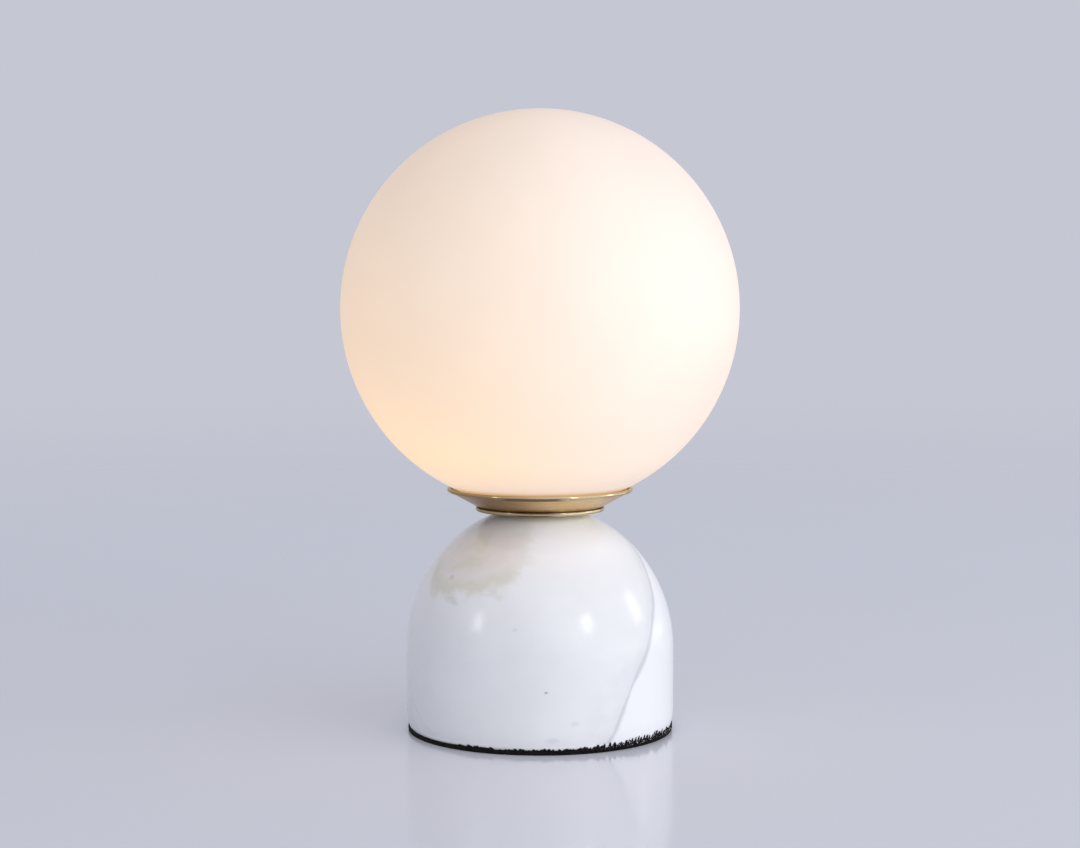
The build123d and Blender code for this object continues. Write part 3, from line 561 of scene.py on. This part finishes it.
def marble(colours):
    """Pale polished stone, with a warm cloud, a main vein, faint veins and small marks."""
    material, tree, shader, place = new_material("marble")
    parts = node(tree, "ShaderNodeSeparateXYZ", {0: place}).outputs
    drift = noise_field(tree, place, 0.022, 4, 0.55)
    tone = stone_ground(tree, parts, drift, colours)

    # The stone is whiter on the inner side of the main vein
    main_vein = use_group(tree, "stone_vein", {
        "Place": place, "Sheet centre": (46.3, 98.1, -29), "Sheet radius": 160.0,
        "Wander": 2.4, "Wander size": 18.0, "Width": 0.9})
    white = [min(channel * 1.07, 0.95) for channel in colours.marble]
    tone = mix_colour(tree, calculate(tree, "MULTIPLY", main_vein["Inside"], 0.8), tone, white)

    tone = stone_cloud(tree, place, parts, tone, colours)
    tone = stone_veins(tree, place, parts, tone, main_vein, colours.marble_vein)
    tone = stone_marks(tree, place, tone, colours)

    # Painted highlight: a thin white line along the foot, in stretches, where its edge catches the light
    low, painted_highlight_white = stone_low.z / MM, (0.97, 0.97, 0.97)
    painted_foot_highlight = calculate(tree, "MULTIPLY", remap(tree, parts["Z"], low + 1.4, low + 2.8, 0.7, 0.0),
                     remap(tree, drift, 0.3, 0.5))
    tone = mix_colour(tree, painted_foot_highlight, tone, painted_highlight_white)
    tree.links.new(tone, shader.inputs["Base Color"])
    mottle = mottled(tree, place, 34.0, 1.2)
    set_roughness(tree, shader, mottle["Tone"], 0.17, 0.2)
    bump(tree, shader, mottle["Grain"], 0.006, 0.2)
    return material


def brass(colours, name, metal, edge_tint, rough_low, rough_high, line_depth, corners):
    """Turned brass, darkened in its corners, each (radius, height, reach) in millimetres, partly by oxide
    and partly by painted shade and painted reflection.
    """
    material, tree, shader, place = new_material(name)
    rings = use_group(tree, "spun_rings", {"Place": place, "Line width": 0.22})
    mottle = mottled(tree, place, 7.0, 0.3)
    uneven = calculate(tree, "MULTIPLY", rings["Bands"], mottle["Tone"])
    tone = mix_colour(tree, uneven, metal, dimmed(metal, 0.86))
    spread = vector(tree, "LENGTH", vector(tree, "MULTIPLY", place, (1, 1, 0)), output="Value")
    parts = node(tree, "ShaderNodeSeparateXYZ", {0: place}).outputs

    # Painted shade: the brass is darker and browner towards the left, where it mirrors a darker room
    painted_shade_across = calculate(tree, "ADD", parts["X"], calculate(tree, "MULTIPLY", mottle["Tone"], 4.0))
    brown = [share * channel for share, channel in zip((0.5, 0.43, 0.36), metal)]
    tone = mix_colour(tree, remap(tree, painted_shade_across, -26.0, 12.0, 1.0, 0.0), tone, brown)

    # The corners' darkening is heavy in a patch at the front and at both sides, where it is painted
    # reflection of a dark room, and lighter elsewhere
    painted_reflection_front = blot(tree, place, (-4, -44, 119), (15.5, 24, 24), 0.15, 0.4)
    painted_reflection_sides = calculate(tree, "DIVIDE", calculate(tree, "ABSOLUTE", parts["X"]), spread)
    strength = calculate(tree, "MAXIMUM", remap(tree, painted_reflection_front, 0.75, 1.1, 0.95, 0.3),
                         remap(tree, painted_reflection_sides, 0.82, 0.96, 0.0, 0.9))
    metal_share = 1.0
    for radius, level, reach in corners:
        across = calculate(tree, "SUBTRACT", spread, radius)
        along = calculate(tree, "SUBTRACT", parts["Z"], level)
        away = vector(tree, "LENGTH", node(
            tree, "ShaderNodeCombineXYZ", {0: across, 1: along}).outputs[0], output="Value")
        dark = calculate(tree, "MULTIPLY", strength, remap(
            tree, calculate(tree, "DIVIDE", away, reach), 0.88, 1.1, 1.0, 0.0))
        tone = mix_colour(tree, dark, tone, colours.tarnish_and_shade)
        metal_share = calculate(tree, "MULTIPLY", metal_share, calculate(tree, "SUBTRACT", 1.0, dark))
    tree.links.new(tone, shader.inputs["Base Color"])
    tree.links.new(metal_share, shader.inputs["Metallic"])
    shader.inputs["Specular Tint"].default_value = (*edge_tint, 1.0)
    tree.links.new(remap(tree, rings["Lines"], 0.3, 0.7, rough_low, rough_high), shader.inputs["Roughness"])
    bump(tree, shader, rings["Lines"], line_depth, 0.5)
    return material


def plain_metal(name, colour, rough_low, rough_high):
    """Plated or bare metal, duller and rougher in patches."""
    material, tree, shader, place = new_material(name)
    mottle = mottled(tree, place, 3.0, 0.25)
    set_colour(tree, shader, mottle["Tone"], colour, 0.82)
    shader.inputs["Metallic"].default_value = 1.0
    set_roughness(tree, shader, mottle["Tone"], rough_high, rough_low)
    bump(tree, shader, mottle["Grain"], 0.01, 0.3)
    return material


def moulded(name, colour, rough_low, rough_high, grain=0.25, depth=0.01, lit=None):
    """Plastic, rubber or porcelain: a grained surface with an uneven tone, lit from inside or not."""
    material, tree, shader, place = new_material(name)
    mottle = mottled(tree, place, 5.0, grain)
    set_colour(tree, shader, mottle["Tone"], colour, 0.9)
    set_roughness(tree, shader, mottle["Tone"], rough_low, rough_high)
    bump(tree, shader, mottle["Grain"], depth, 0.5)
    if lit:
        light = mix_colour(tree, mottle["Tone"], dimmed(lit, 0.93), lit)
        tree.links.new(light, shader.inputs["Emission Color"])
        shader.inputs["Emission Strength"].default_value = 1.0
    return material


def foam():
    """Black foam; stone dust sits in the glue crumbs at the right of the front."""
    material, tree, shader, place = new_material("black_foam")
    cells = node(tree, "ShaderNodeTexVoronoi", {"Vector": place, "Scale": 1.6})
    mottle = mottled(tree, place, 4.0, 0.5)
    soot, charcoal, stone_dust = (0.003, 0.003, 0.004), (0.012, 0.008, 0.009), (0.75, 0.77, 0.8)
    tone = mix_colour(tree, mottle["Tone"], soot, charcoal)
    parts = node(tree, "ShaderNodeSeparateXYZ", {0: place}).outputs
    right = calculate(tree, "MULTIPLY", remap(tree, parts["X"], 18.0, 44.0),
                      remap(tree, parts["Y"], 6.0, -6.0))
    raised = calculate(tree, "MULTIPLY", right, remap(tree, parts["Z"], 1.3, 2.4))
    dust = remap(tree, noise_field(tree, place, 1.5, 2), 0.6, 0.66)
    dusty = calculate(tree, "MULTIPLY", dust, raised)
    tree.links.new(mix_colour(tree, dusty, tone, stone_dust), shader.inputs["Base Color"])
    tree.links.new(remap(tree, cells.outputs["Distance"], 0.1, 0.7, 0.95, 0.7), shader.inputs["Roughness"])
    shader.inputs["Specular IOR Level"].default_value = 0.15
    bump(tree, shader, cells.outputs["Distance"], 0.3, 0.8)
    return material


def earth_stripes():
    """Green sleeve of the earth lead, with a yellow stripe along its middle."""
    material, tree, shader, place = new_material("earth_silicone")
    yellow, deep_green, green = (0.72, 0.60, 0.05), (0.03, 0.20, 0.05), (0.04, 0.26, 0.07)
    x = node(tree, "ShaderNodeSeparateXYZ", {0: place}).outputs["X"]
    mottle = mottled(tree, place, 3.0, 0.3)
    beside_stripe = remap(tree, calculate(tree, "ABSOLUTE", x), 0.28, 0.36)
    sleeve = mix_colour(tree, mottle["Tone"], deep_green, green)
    tree.links.new(mix_colour(tree, beside_stripe, yellow, sleeve), shader.inputs["Base Color"])
    set_roughness(tree, shader, mottle["Tone"], 0.45, 0.55)
    bump(tree, shader, mottle["Grain"], 0.01, 0.4)
    return material


def studio_paper(colours):
    """Glossy pale table top that fades into the air with distance."""
    material, tree, shader, place = new_material("studio_paper")
    mottle = mottled(tree, place, 300.0, 1.0)
    set_colour(tree, shader, mottle["Tone"], colours.floor, 0.985)
    shader.inputs["Specular IOR Level"].default_value = 0.75
    away = vector(tree, "LENGTH", place, output="Value")
    tree.links.new(remap(tree, away, 700.0, 2600.0, 1.0, 0.0), shader.inputs["Alpha"])
    set_roughness(tree, shader, mottle["Tone"], 0.11, 0.13)
    return material


# ---- Operators, for the pieces and for the stage


class GLOBE_LAMP_OT_finishes(bpy.types.Operator):
    """Build the shared node groups and give the carried-over hardware its finishes"""

    bl_idname = "globe_lamp.finishes"
    bl_label = "Hardware finishes"

    def execute(self, context):
        group_mottle()
        group_spun_rings()
        group_bulb_glow()
        group_stone_vein()
        group_specks()
        zinc = plain_metal("zinc_steel", (0.62, 0.63, 0.64), 0.24, 0.4)
        spring = plain_metal("spring_steel", (0.42, 0.43, 0.46), 0.2, 0.34)
        contact = plain_metal("contact_brass", (0.72, 0.60, 0.40), 0.28, 0.42)
        rubber = moulded("black_rubber", (0.02, 0.02, 0.021), 0.6, 0.75, 0.4, 0.03)
        silicone = moulded("clear_silicone", (0.74, 0.74, 0.72), 0.4, 0.5)
        nylon = moulded("white_nylon", (0.80, 0.80, 0.78), 0.42, 0.52)
        porcelain = moulded("porcelain", (0.84, 0.83, 0.80), 0.5, 0.65, 0.2, 0.02)
        phosphor = moulded("led_phosphor", (0.85, 0.62, 0.12), 0.5, 0.6)
        frosted = moulded("frosted_cover", (0.60, 0.58, 0.54), 0.45, 0.55, lit=(0.42, 0.30, 0.15))
        brown = moulded("brown_silicone", (0.14, 0.055, 0.025), 0.45, 0.55)
        blue = moulded("blue_silicone", (0.03, 0.10, 0.36), 0.45, 0.55)
        finishes = {
            zinc: ("spring_carrier", "spring_rivets", "threaded_tube", "clamp_plate", "bottom_nut",
                   "top_nut", "lampholder_bracket", "lampholder_screws", "terminal_screws",
                   "block_screws"),
            spring: ("globe_springs", "bottom_lock_washer", "top_lock_washer"),
            contact: ("earth_tag", "lampholder_contacts", "bulb_pins", "terminal_barrels"),
            rubber: ("cord_grommet", "stone_washer"),
            silicone: ("globe_gasket",),
            nylon: ("tube_bushing", "bulb_base", "terminal_block"),
            porcelain: ("lampholder_body", "bulb_core"),
            phosphor: ("bulb_leds",),
            frosted: ("bulb_cover",),
            brown: ("lead_live",),
            blue: ("lead_neutral",),
            earth_stripes(): ("lead_earth",),
        }
        for material, names in finishes.items():
            for name in names:
                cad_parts[name].data.materials.clear()
                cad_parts[name].data.materials.append(material)
        return {"FINISHED"}


class GLOBE_LAMP_OT_glass_globe(bpy.types.Operator):
    """Blown opal globe with a short ground neck"""

    bl_idname = "globe_lamp.glass_globe"
    bl_label = "Glass globe"

    def execute(self, context):
        sizes = context.scene.lamp_sizes
        middle = globe_high.z - sizes.globe_radius
        neck_top = middle - math.sqrt(sizes.globe_radius**2 - sizes.neck_radius**2)
        deselect_all()
        bpy.ops.mesh.primitive_uv_sphere_add(
            segments=TURN_STEPS, ring_count=TURN_STEPS // 2, radius=sizes.globe_radius,
            location=(0, 0, middle))
        globe = context.object
        globe.name = "globe_glass"
        apply_place(globe)
        bpy.ops.object.mode_set(mode="EDIT")
        bpy.ops.mesh.select_all(action="SELECT")
        bpy.ops.mesh.bisect(plane_co=(0, 0, neck_top), plane_no=(0, 0, 1), clear_inner=True)
        bpy.ops.mesh.extrude_edges_move(
            TRANSFORM_OT_translate={"value": (0, 0, globe_low.z - neck_top)})
        bpy.ops.mesh.select_all(action="SELECT")
        bpy.ops.mesh.normals_make_consistent(inside=False)
        bpy.ops.object.mode_set(mode="OBJECT")
        wall = globe.modifiers.new("wall", "SOLIDIFY")
        wall.thickness = sizes.globe_wall
        wall.offset = -1.0
        wall.use_even_offset = True
        bpy.ops.object.modifier_apply(modifier=wall.name)
        edge = globe.modifiers.new("ground_edge", "BEVEL")
        edge.width = 0.35 * MM
        edge.segments = 2
        edge.angle_limit = math.radians(60)
        bpy.ops.object.modifier_apply(modifier=edge.name)
        bpy.ops.object.shade_smooth_by_angle(angle=math.radians(30))
        glass = opal_glass(context.scene.lamp_colours, sizes.globe_radius / MM)
        finish_piece(globe, "globe", "opal_glass", ["glass_globe"], glass)
        return {"FINISHED"}


def stone_edge_radius(sizes, level):
    """Radius of the stone's wall near its foot."""
    inset, height = sizes.stone_foot_inset, sizes.stone_foot_height
    foot_arc = (inset**2 + height**2) / (2 * inset)
    drop = min(max(stone_low.z + height - level, 0), height)
    return sizes.stone_radius - foot_arc + math.sqrt(foot_arc**2 - drop**2)


def stone_outline(sizes):
    """Radius and height of the stone's outside, from its underside to its flat top."""
    foot_steps, dome_steps = 8, 48
    low, high = stone_low.z, stone_high.z
    shoulder = low + sizes.stone_band
    foot_top = low + sizes.stone_foot_height
    points = []
    edge_top = low + sizes.stone_edge
    for step in range(foot_steps + 1):
        level = edge_top + (foot_top - edge_top) * step / foot_steps
        points.append((stone_edge_radius(sizes, level), level))
    points.insert(0, (points[0][0] - sizes.stone_edge, low))
    points.append((sizes.stone_radius, shoulder))
    top_share = (high - shoulder) / sizes.dome_half_height
    last_angle = math.asin(top_share)
    for step in range(1, dome_steps + 1):
        angle = last_angle * step / dome_steps
        points.append((
            sizes.stone_radius * math.cos(angle),
            shoulder + sizes.dome_half_height * math.sin(angle),
        ))
    return points


class GLOBE_LAMP_OT_marble_base(bpy.types.Operator):
    """Turned marble with its wiring recess, rod bore and cord channel"""

    bl_idname = "globe_lamp.marble_base"
    bl_label = "Marble base"

    def execute(self, context):
        sizes = context.scene.lamp_sizes
        low, high = stone_low.z, stone_high.z
        rod_hole, pocket, recess = 5.5 * MM, 15.5 * MM, 38.0 * MM
        recess_top, pocket_top, mouth = low + 26 * MM, low + 36 * MM, 2 * MM
        outline = stone_outline(sizes)
        outline += [
            (rod_hole, high),
            (rod_hole, pocket_top),
            (pocket, pocket_top),
            (pocket, recess_top + mouth),
            (pocket + mouth, recess_top),
            (recess, recess_top),
            (recess, low),
            outline[0],
        ]
        stone = turned("marble_stone", outline)
        cord_channel, grommet_seat = (4.6 * MM, 36 * MM), (7.0 * MM, 3 * MM)
        for radius, depth in (cord_channel, grommet_seat):
            self.drill(stone, radius, depth, sizes)
        finish_piece(stone, "base", "marble", ["marble_base"], marble(context.scene.lamp_colours))
        return {"FINISHED"}

    def drill(self, stone, radius, depth, sizes):
        """Cut the cord channel, or the grommet's seat, into the back of the stone."""
        outside, cord_height = 10 * MM, 12 * MM
        deselect_all()
        bpy.ops.mesh.primitive_cylinder_add(
            vertices=64, radius=radius, depth=depth + outside,
            location=(0, sizes.stone_radius + (outside - depth) / 2, cord_height),
            rotation=(math.radians(90), 0, 0))
        drill = bpy.context.object
        deselect_all()
        stone.select_set(True)
        bpy.context.view_layer.objects.active = stone
        cut = stone.modifiers.new("cord_hole", "BOOLEAN")
        cut.operation = "DIFFERENCE"
        cut.object = drill
        bpy.ops.object.modifier_apply(modifier=cut.name)
        bpy.data.objects.remove(drill)


class GLOBE_LAMP_OT_base_pad(bpy.types.Operator):
    """Foam pad under the stone, with the crumbs of glue that climb its edge"""

    bl_idname = "globe_lamp.base_pad"
    bl_label = "Base pad"

    # Points round the pad, and rows of points over its top that are raised into crumbs
    around = 900
    crumb_rows, crumb_step = 5, 0.1 * MM
    # Steps of the noise in a metre: along the edge, up it, and for whole crumbs
    fine_noise, rising_noise, crumb_noise = 1700, 1500, 750
    # Angle from the front towards the right, and the share of the full glue height there
    crumb_heights = ((-180, 0.35), (-120, 0.2), (-60, 0.04), (-40, 0.1), (-34, 0.42), (0, 0.36), (24, 0.5),
                     (34, 0.8), (50, 1.0), (72, 0.9), (85, 0.6), (110, 0.4), (180, 0.35))

    def execute(self, context):
        sizes = context.scene.lamp_sizes
        radius, top = pad_high.x, pad_high.z
        edge = 0.3 * MM
        outline = [(0, 0), (radius - edge, 0), (radius, edge)]
        outline += [(radius, top * share) for share in (0.4, 0.6, 0.8, 0.95)]
        outline += [(radius, top + self.crumb_step * (row + 1)) for row in range(self.crumb_rows)]
        inside = radius - 2.5 * MM
        outline += [(inside, top), (0, top)]
        pad = turned("foam_pad", outline, steps=self.around)
        for point in pad.data.vertices:
            if point.co.z > 0.55 * top and point.co.xy.length > inside + edge:
                self.crumble(point, radius, top, sizes)
        finish_piece(pad, "base", "black_foam", ["base_pad"], foam())
        return {"FINISHED"}

    def crumble(self, point, radius, top, sizes):
        """Move a point of the pad's upper edge: glue crumbs climb the stone towards the right."""
        angle = math.degrees(math.atan2(point.co.x, -point.co.y))
        share = max(point.co.z - top, 0) / (self.crumb_rows * self.crumb_step)
        rise = self.crumb_height(angle) * sizes.glue_height
        spot = Vector((math.sin(math.radians(angle)), math.cos(math.radians(angle)), 0)) * radius
        fine = noise.noise(spot * self.fine_noise + Vector((0, 0, point.co.z * self.rising_noise)))
        coarse = noise.noise(spot * self.crumb_noise)
        height = rise * min(max(0.72 + 1.2 * coarse + 0.9 * fine, 0.04), 1.4)
        level = top + share * height if point.co.z > top else point.co.z
        wall = stone_edge_radius(sizes, level)
        plump = (0.4 + 0.9 * fine) * MM * min(rise / (1.2 * MM), 1.0) * (1 - 0.6 * share)
        reach = wall + 0.12 * MM + plump if point.co.z > top else max(radius + plump * 0.5, radius)
        heading = point.co.xy.normalized()
        point.co = (heading.x * reach, heading.y * reach, level)

    def crumb_height(self, angle):
        """Share of the full glue height at an angle from the front towards the right."""
        for before, after in zip(self.crumb_heights, self.crumb_heights[1:]):
            if before[0] <= angle <= after[0]:
                share = (angle - before[0]) / (after[0] - before[0])
                return before[1] + share * (after[1] - before[1])


class GLOBE_LAMP_OT_brass(bpy.types.Operator):
    """Spun dish with a beaded rim, and the flat foot disc under it"""

    bl_idname = "globe_lamp.brass"
    bl_label = "Brass dish and disc"

    rod_hole = 5.15 * MM

    def execute(self, context):
        sizes = context.scene.lamp_sizes
        satin, polished = self.metals(context.scene.lamp_colours, sizes.rim_bead)
        self.dish(sizes, satin, polished)
        self.disc(polished)
        return {"FINISHED"}

    def metals(self, colours, bead):
        """The dish's satin brass and the polished brass of the rim and the disc."""
        # Corners darkened by oxide and by painted shade and painted reflection, each as radius, height and
        # reach in millimetres
        under_bead = ((dish_high.x - 1.41 * bead) / MM, (dish_high.z - 1.91 * bead) / MM, 1.62)
        over_disc = (disc_high.x / MM - 0.9, disc_high.z / MM, 1.0)
        under_disc = (disc_high.x / MM - 0.2, disc_low.z / MM - 0.1, 0.85)
        corners = [under_bead, over_disc, under_disc]
        white_edge, gold_edge = (1, 1, 1), (0.97, 0.86, 0.64)
        satin = brass(
            colours, "satin_brass", colours.brass, white_edge, 0.26, 0.36, 0.02, corners)
        polished = brass(
            colours, "polished_brass", colours.polish, gold_edge, 0.1, 0.17, 0.004, corners)
        return satin, polished

    def dish(self, sizes, satin, polished):
        """Spun sheet: a flat floor, a bend, a cone and the rolled bead, which is polished."""
        half, bead, bend = sizes.dish_sheet / 2, sizes.rim_bead, 2.0 * MM
        floor = dish_low.z + half
        corner = (sizes.dish_floor_radius, floor)
        bead_at = (dish_high.x - bead, dish_high.z - bead)
        slope = math.atan2(bead_at[1] - corner[1], bead_at[0] - corner[0])
        bend_at = (corner[0] - bend * math.tan(slope / 2), floor + bend)
        lean = math.degrees(slope)
        grip = math.degrees(math.asin(half / bead))
        outline = [(self.rod_hole, floor - half)]
        outline += arc(bend_at, bend + half, -90, -90 + lean, 8)
        outline += arc(bead_at, bead, lean - 180 + grip, lean + 180 - grip, 24)
        outline += arc(bend_at, bend - half, -90 + lean, -90, 8)
        outline += [(self.rod_hole, floor + half), outline[0]]
        dish = turned("spun_dish", outline)
        finish_piece(dish, "base", "satin_brass", ["brass_dish"], satin, polished)
        polished_from = bead_at[0] - 0.8 * bead
        for face in dish.data.polygons:
            face.material_index = int(math.hypot(face.center.x, face.center.y) > polished_from)

    def disc(self, polished):
        """Flat disc with rounded edges, under the dish."""
        edge = 0.6 * MM
        low, high, radius = disc_low.z, disc_high.z, disc_high.x
        outline = [(self.rod_hole, low)]
        outline += arc((radius - edge, low + edge), edge, -90, 0, 8)
        outline += arc((radius - edge, high - edge), edge, 0, 90, 8)
        outline += [(self.rod_hole, high), outline[0]]
        disc = turned("foot_disc", outline)
        finish_piece(disc, "base", "polished_brass", ["brass_foot_disc"], polished)


class GLOBE_LAMP_OT_stage(bpy.types.Operator):
    """Plain pale floor and backdrop, soft studio lights and the camera"""

    bl_idname = "globe_lamp.stage"
    bl_label = "Studio"

    floor_radius = 2.8
    # Direction, distance, width and height in metres, watts, and whether gloss mirrors the light
    lights = {
        "window": ((0.82, -0.48, 0.27), 2.4, (3.2, 1.1), 23.4, False),
        "front_window": ((0.4, -0.9, 0.17), 2.4, (1.8, 0.9), 8.0, False),
        "softbox_front_right": ((0.649, -0.696, 0.309), 1.7, (0.22, 0.34), 1.6, True),
        "softbox_right": ((0.956, 0.126, 0.265), 1.7, (0.36, 0.5), 1.6, True),
        "softbox_left": ((-0.804, -0.522, 0.284), 1.7, (0.22, 0.34), 1.3, True),
    }

    def execute(self, context):
        colours = context.scene.lamp_colours
        stage = context.scene.lamp_stage
        deselect_all()
        bpy.ops.mesh.primitive_circle_add(vertices=96, radius=self.floor_radius, fill_type="NGON")
        floor = context.object
        floor.name = "studio_floor"
        floor.data.materials.append(studio_paper(colours))
        spared = bpy.data.collections.new("not_lit_by_softboxes")
        spared.objects.link(floor)
        spared.collection_objects[0].light_linking.link_state = "EXCLUDE"
        self.air(context, colours)
        for name, light in self.lights.items():
            self.lamp(name, *light, spared)

        bpy.ops.object.camera_add(
            location=(0, -stage.camera_distance, stage.camera_height),
            rotation=(math.radians(90) - stage.camera_pitch, 0, 0))
        camera = context.object
        camera.data.lens = stage.lens
        camera.data.sensor_width = 36.0
        context.scene.camera = camera
        context.scene.view_settings.view_transform = "Standard"
        return {"FINISHED"}

    def air(self, context, colours):
        """Pale air all round; low down, gloss shows a dark room in front and a bright one at the right."""
        world = bpy.data.worlds.new("studio_air")
        context.scene.world = world
        world.use_nodes = True
        tree = world.node_tree
        towards = node(tree, "ShaderNodeTexCoord").outputs["Generated"]
        parts = node(tree, "ShaderNodeSeparateXYZ", {0: towards}).outputs
        glossy = node(tree, "ShaderNodeLightPath").outputs["Is Glossy Ray"]
        low = calculate(tree, "MULTIPLY", glossy, remap(tree, parts["Z"], 0.06, -0.02))
        front = calculate(tree, "MULTIPLY", low, remap(tree, parts["Y"], -0.8, -0.9))
        right = calculate(tree, "MULTIPLY", low, remap(tree, parts["X"], 0.68, 0.76))
        dark_room, bright_room = (0.05, 0.035, 0.02), (2.1, 2.05, 1.95)
        pale = mix_colour(tree, front, colours.studio, dark_room)
        pale = mix_colour(tree, right, pale, bright_room)
        tree.links.new(pale, tree.nodes["Background"].inputs["Color"])

    def lamp(self, name, direction, distance, size, power, mirrored, spared):
        """A soft light that faces the lamp's middle; one that gloss mirrors leaves the floor unlit."""
        middle = Vector((0, 0, (cad_box[0].z + cad_box[1].z) / 2))
        towards = Vector(direction).normalized()
        bpy.ops.object.light_add(type="AREA", location=middle + towards * distance)
        lamp = bpy.context.object
        lamp.name = name
        lamp.rotation_euler = towards.to_track_quat("Z", "Y").to_euler()
        lamp.data.shape = "RECTANGLE"
        lamp.data.size, lamp.data.size_y = size
        lamp.data.energy = power
        lamp.visible_camera = False
        lamp.visible_glossy = mirrored
        if mirrored:
            lamp.light_linking.receiver_collection = spared


class GLOBE_LAMP_PT_panel(bpy.types.Panel):
    """Lists the lamp's pieces in the sidebar"""

    bl_label = "Globe Lamp"
    bl_space_type = "VIEW_3D"
    bl_region_type = "UI"
    bl_category = "Globe Lamp"

    def draw(self, context):
        for operator in OPERATORS:
            self.layout.operator(operator.bl_idname)
        for group in (context.scene.lamp_sizes, context.scene.lamp_colours, context.scene.lamp_stage):
            box = self.layout.box()
            for name in group.__annotations__:
                box.prop(group, name)


OPERATORS = (
    GLOBE_LAMP_OT_finishes,
    GLOBE_LAMP_OT_glass_globe,
    GLOBE_LAMP_OT_marble_base,
    GLOBE_LAMP_OT_base_pad,
    GLOBE_LAMP_OT_brass,
    GLOBE_LAMP_OT_stage,
)
GROUPS = {"lamp_sizes": LampSizes, "lamp_colours": LampColours, "lamp_stage": LampStage}


def register():
    for name, group in GROUPS.items():
        bpy.utils.register_class(group)
        setattr(bpy.types.Scene, name, bpy.props.PointerProperty(type=group))
    for kind in (*OPERATORS, GLOBE_LAMP_PT_panel):
        bpy.utils.register_class(kind)


def unregister():
    for kind in (GLOBE_LAMP_PT_panel, *reversed(OPERATORS)):
        bpy.utils.unregister_class(kind)
    for name, group in GROUPS.items():
        delattr(bpy.types.Scene, name)
        bpy.utils.unregister_class(group)


def main():
    register()
    bpy.ops.globe_lamp.finishes()
    bpy.ops.globe_lamp.glass_globe()
    bpy.ops.globe_lamp.marble_base()
    bpy.ops.globe_lamp.base_pad()
    bpy.ops.globe_lamp.brass()
    bpy.ops.globe_lamp.stage()
    bpy.context.view_layer.update()


if __name__ == "__main__":
    main()
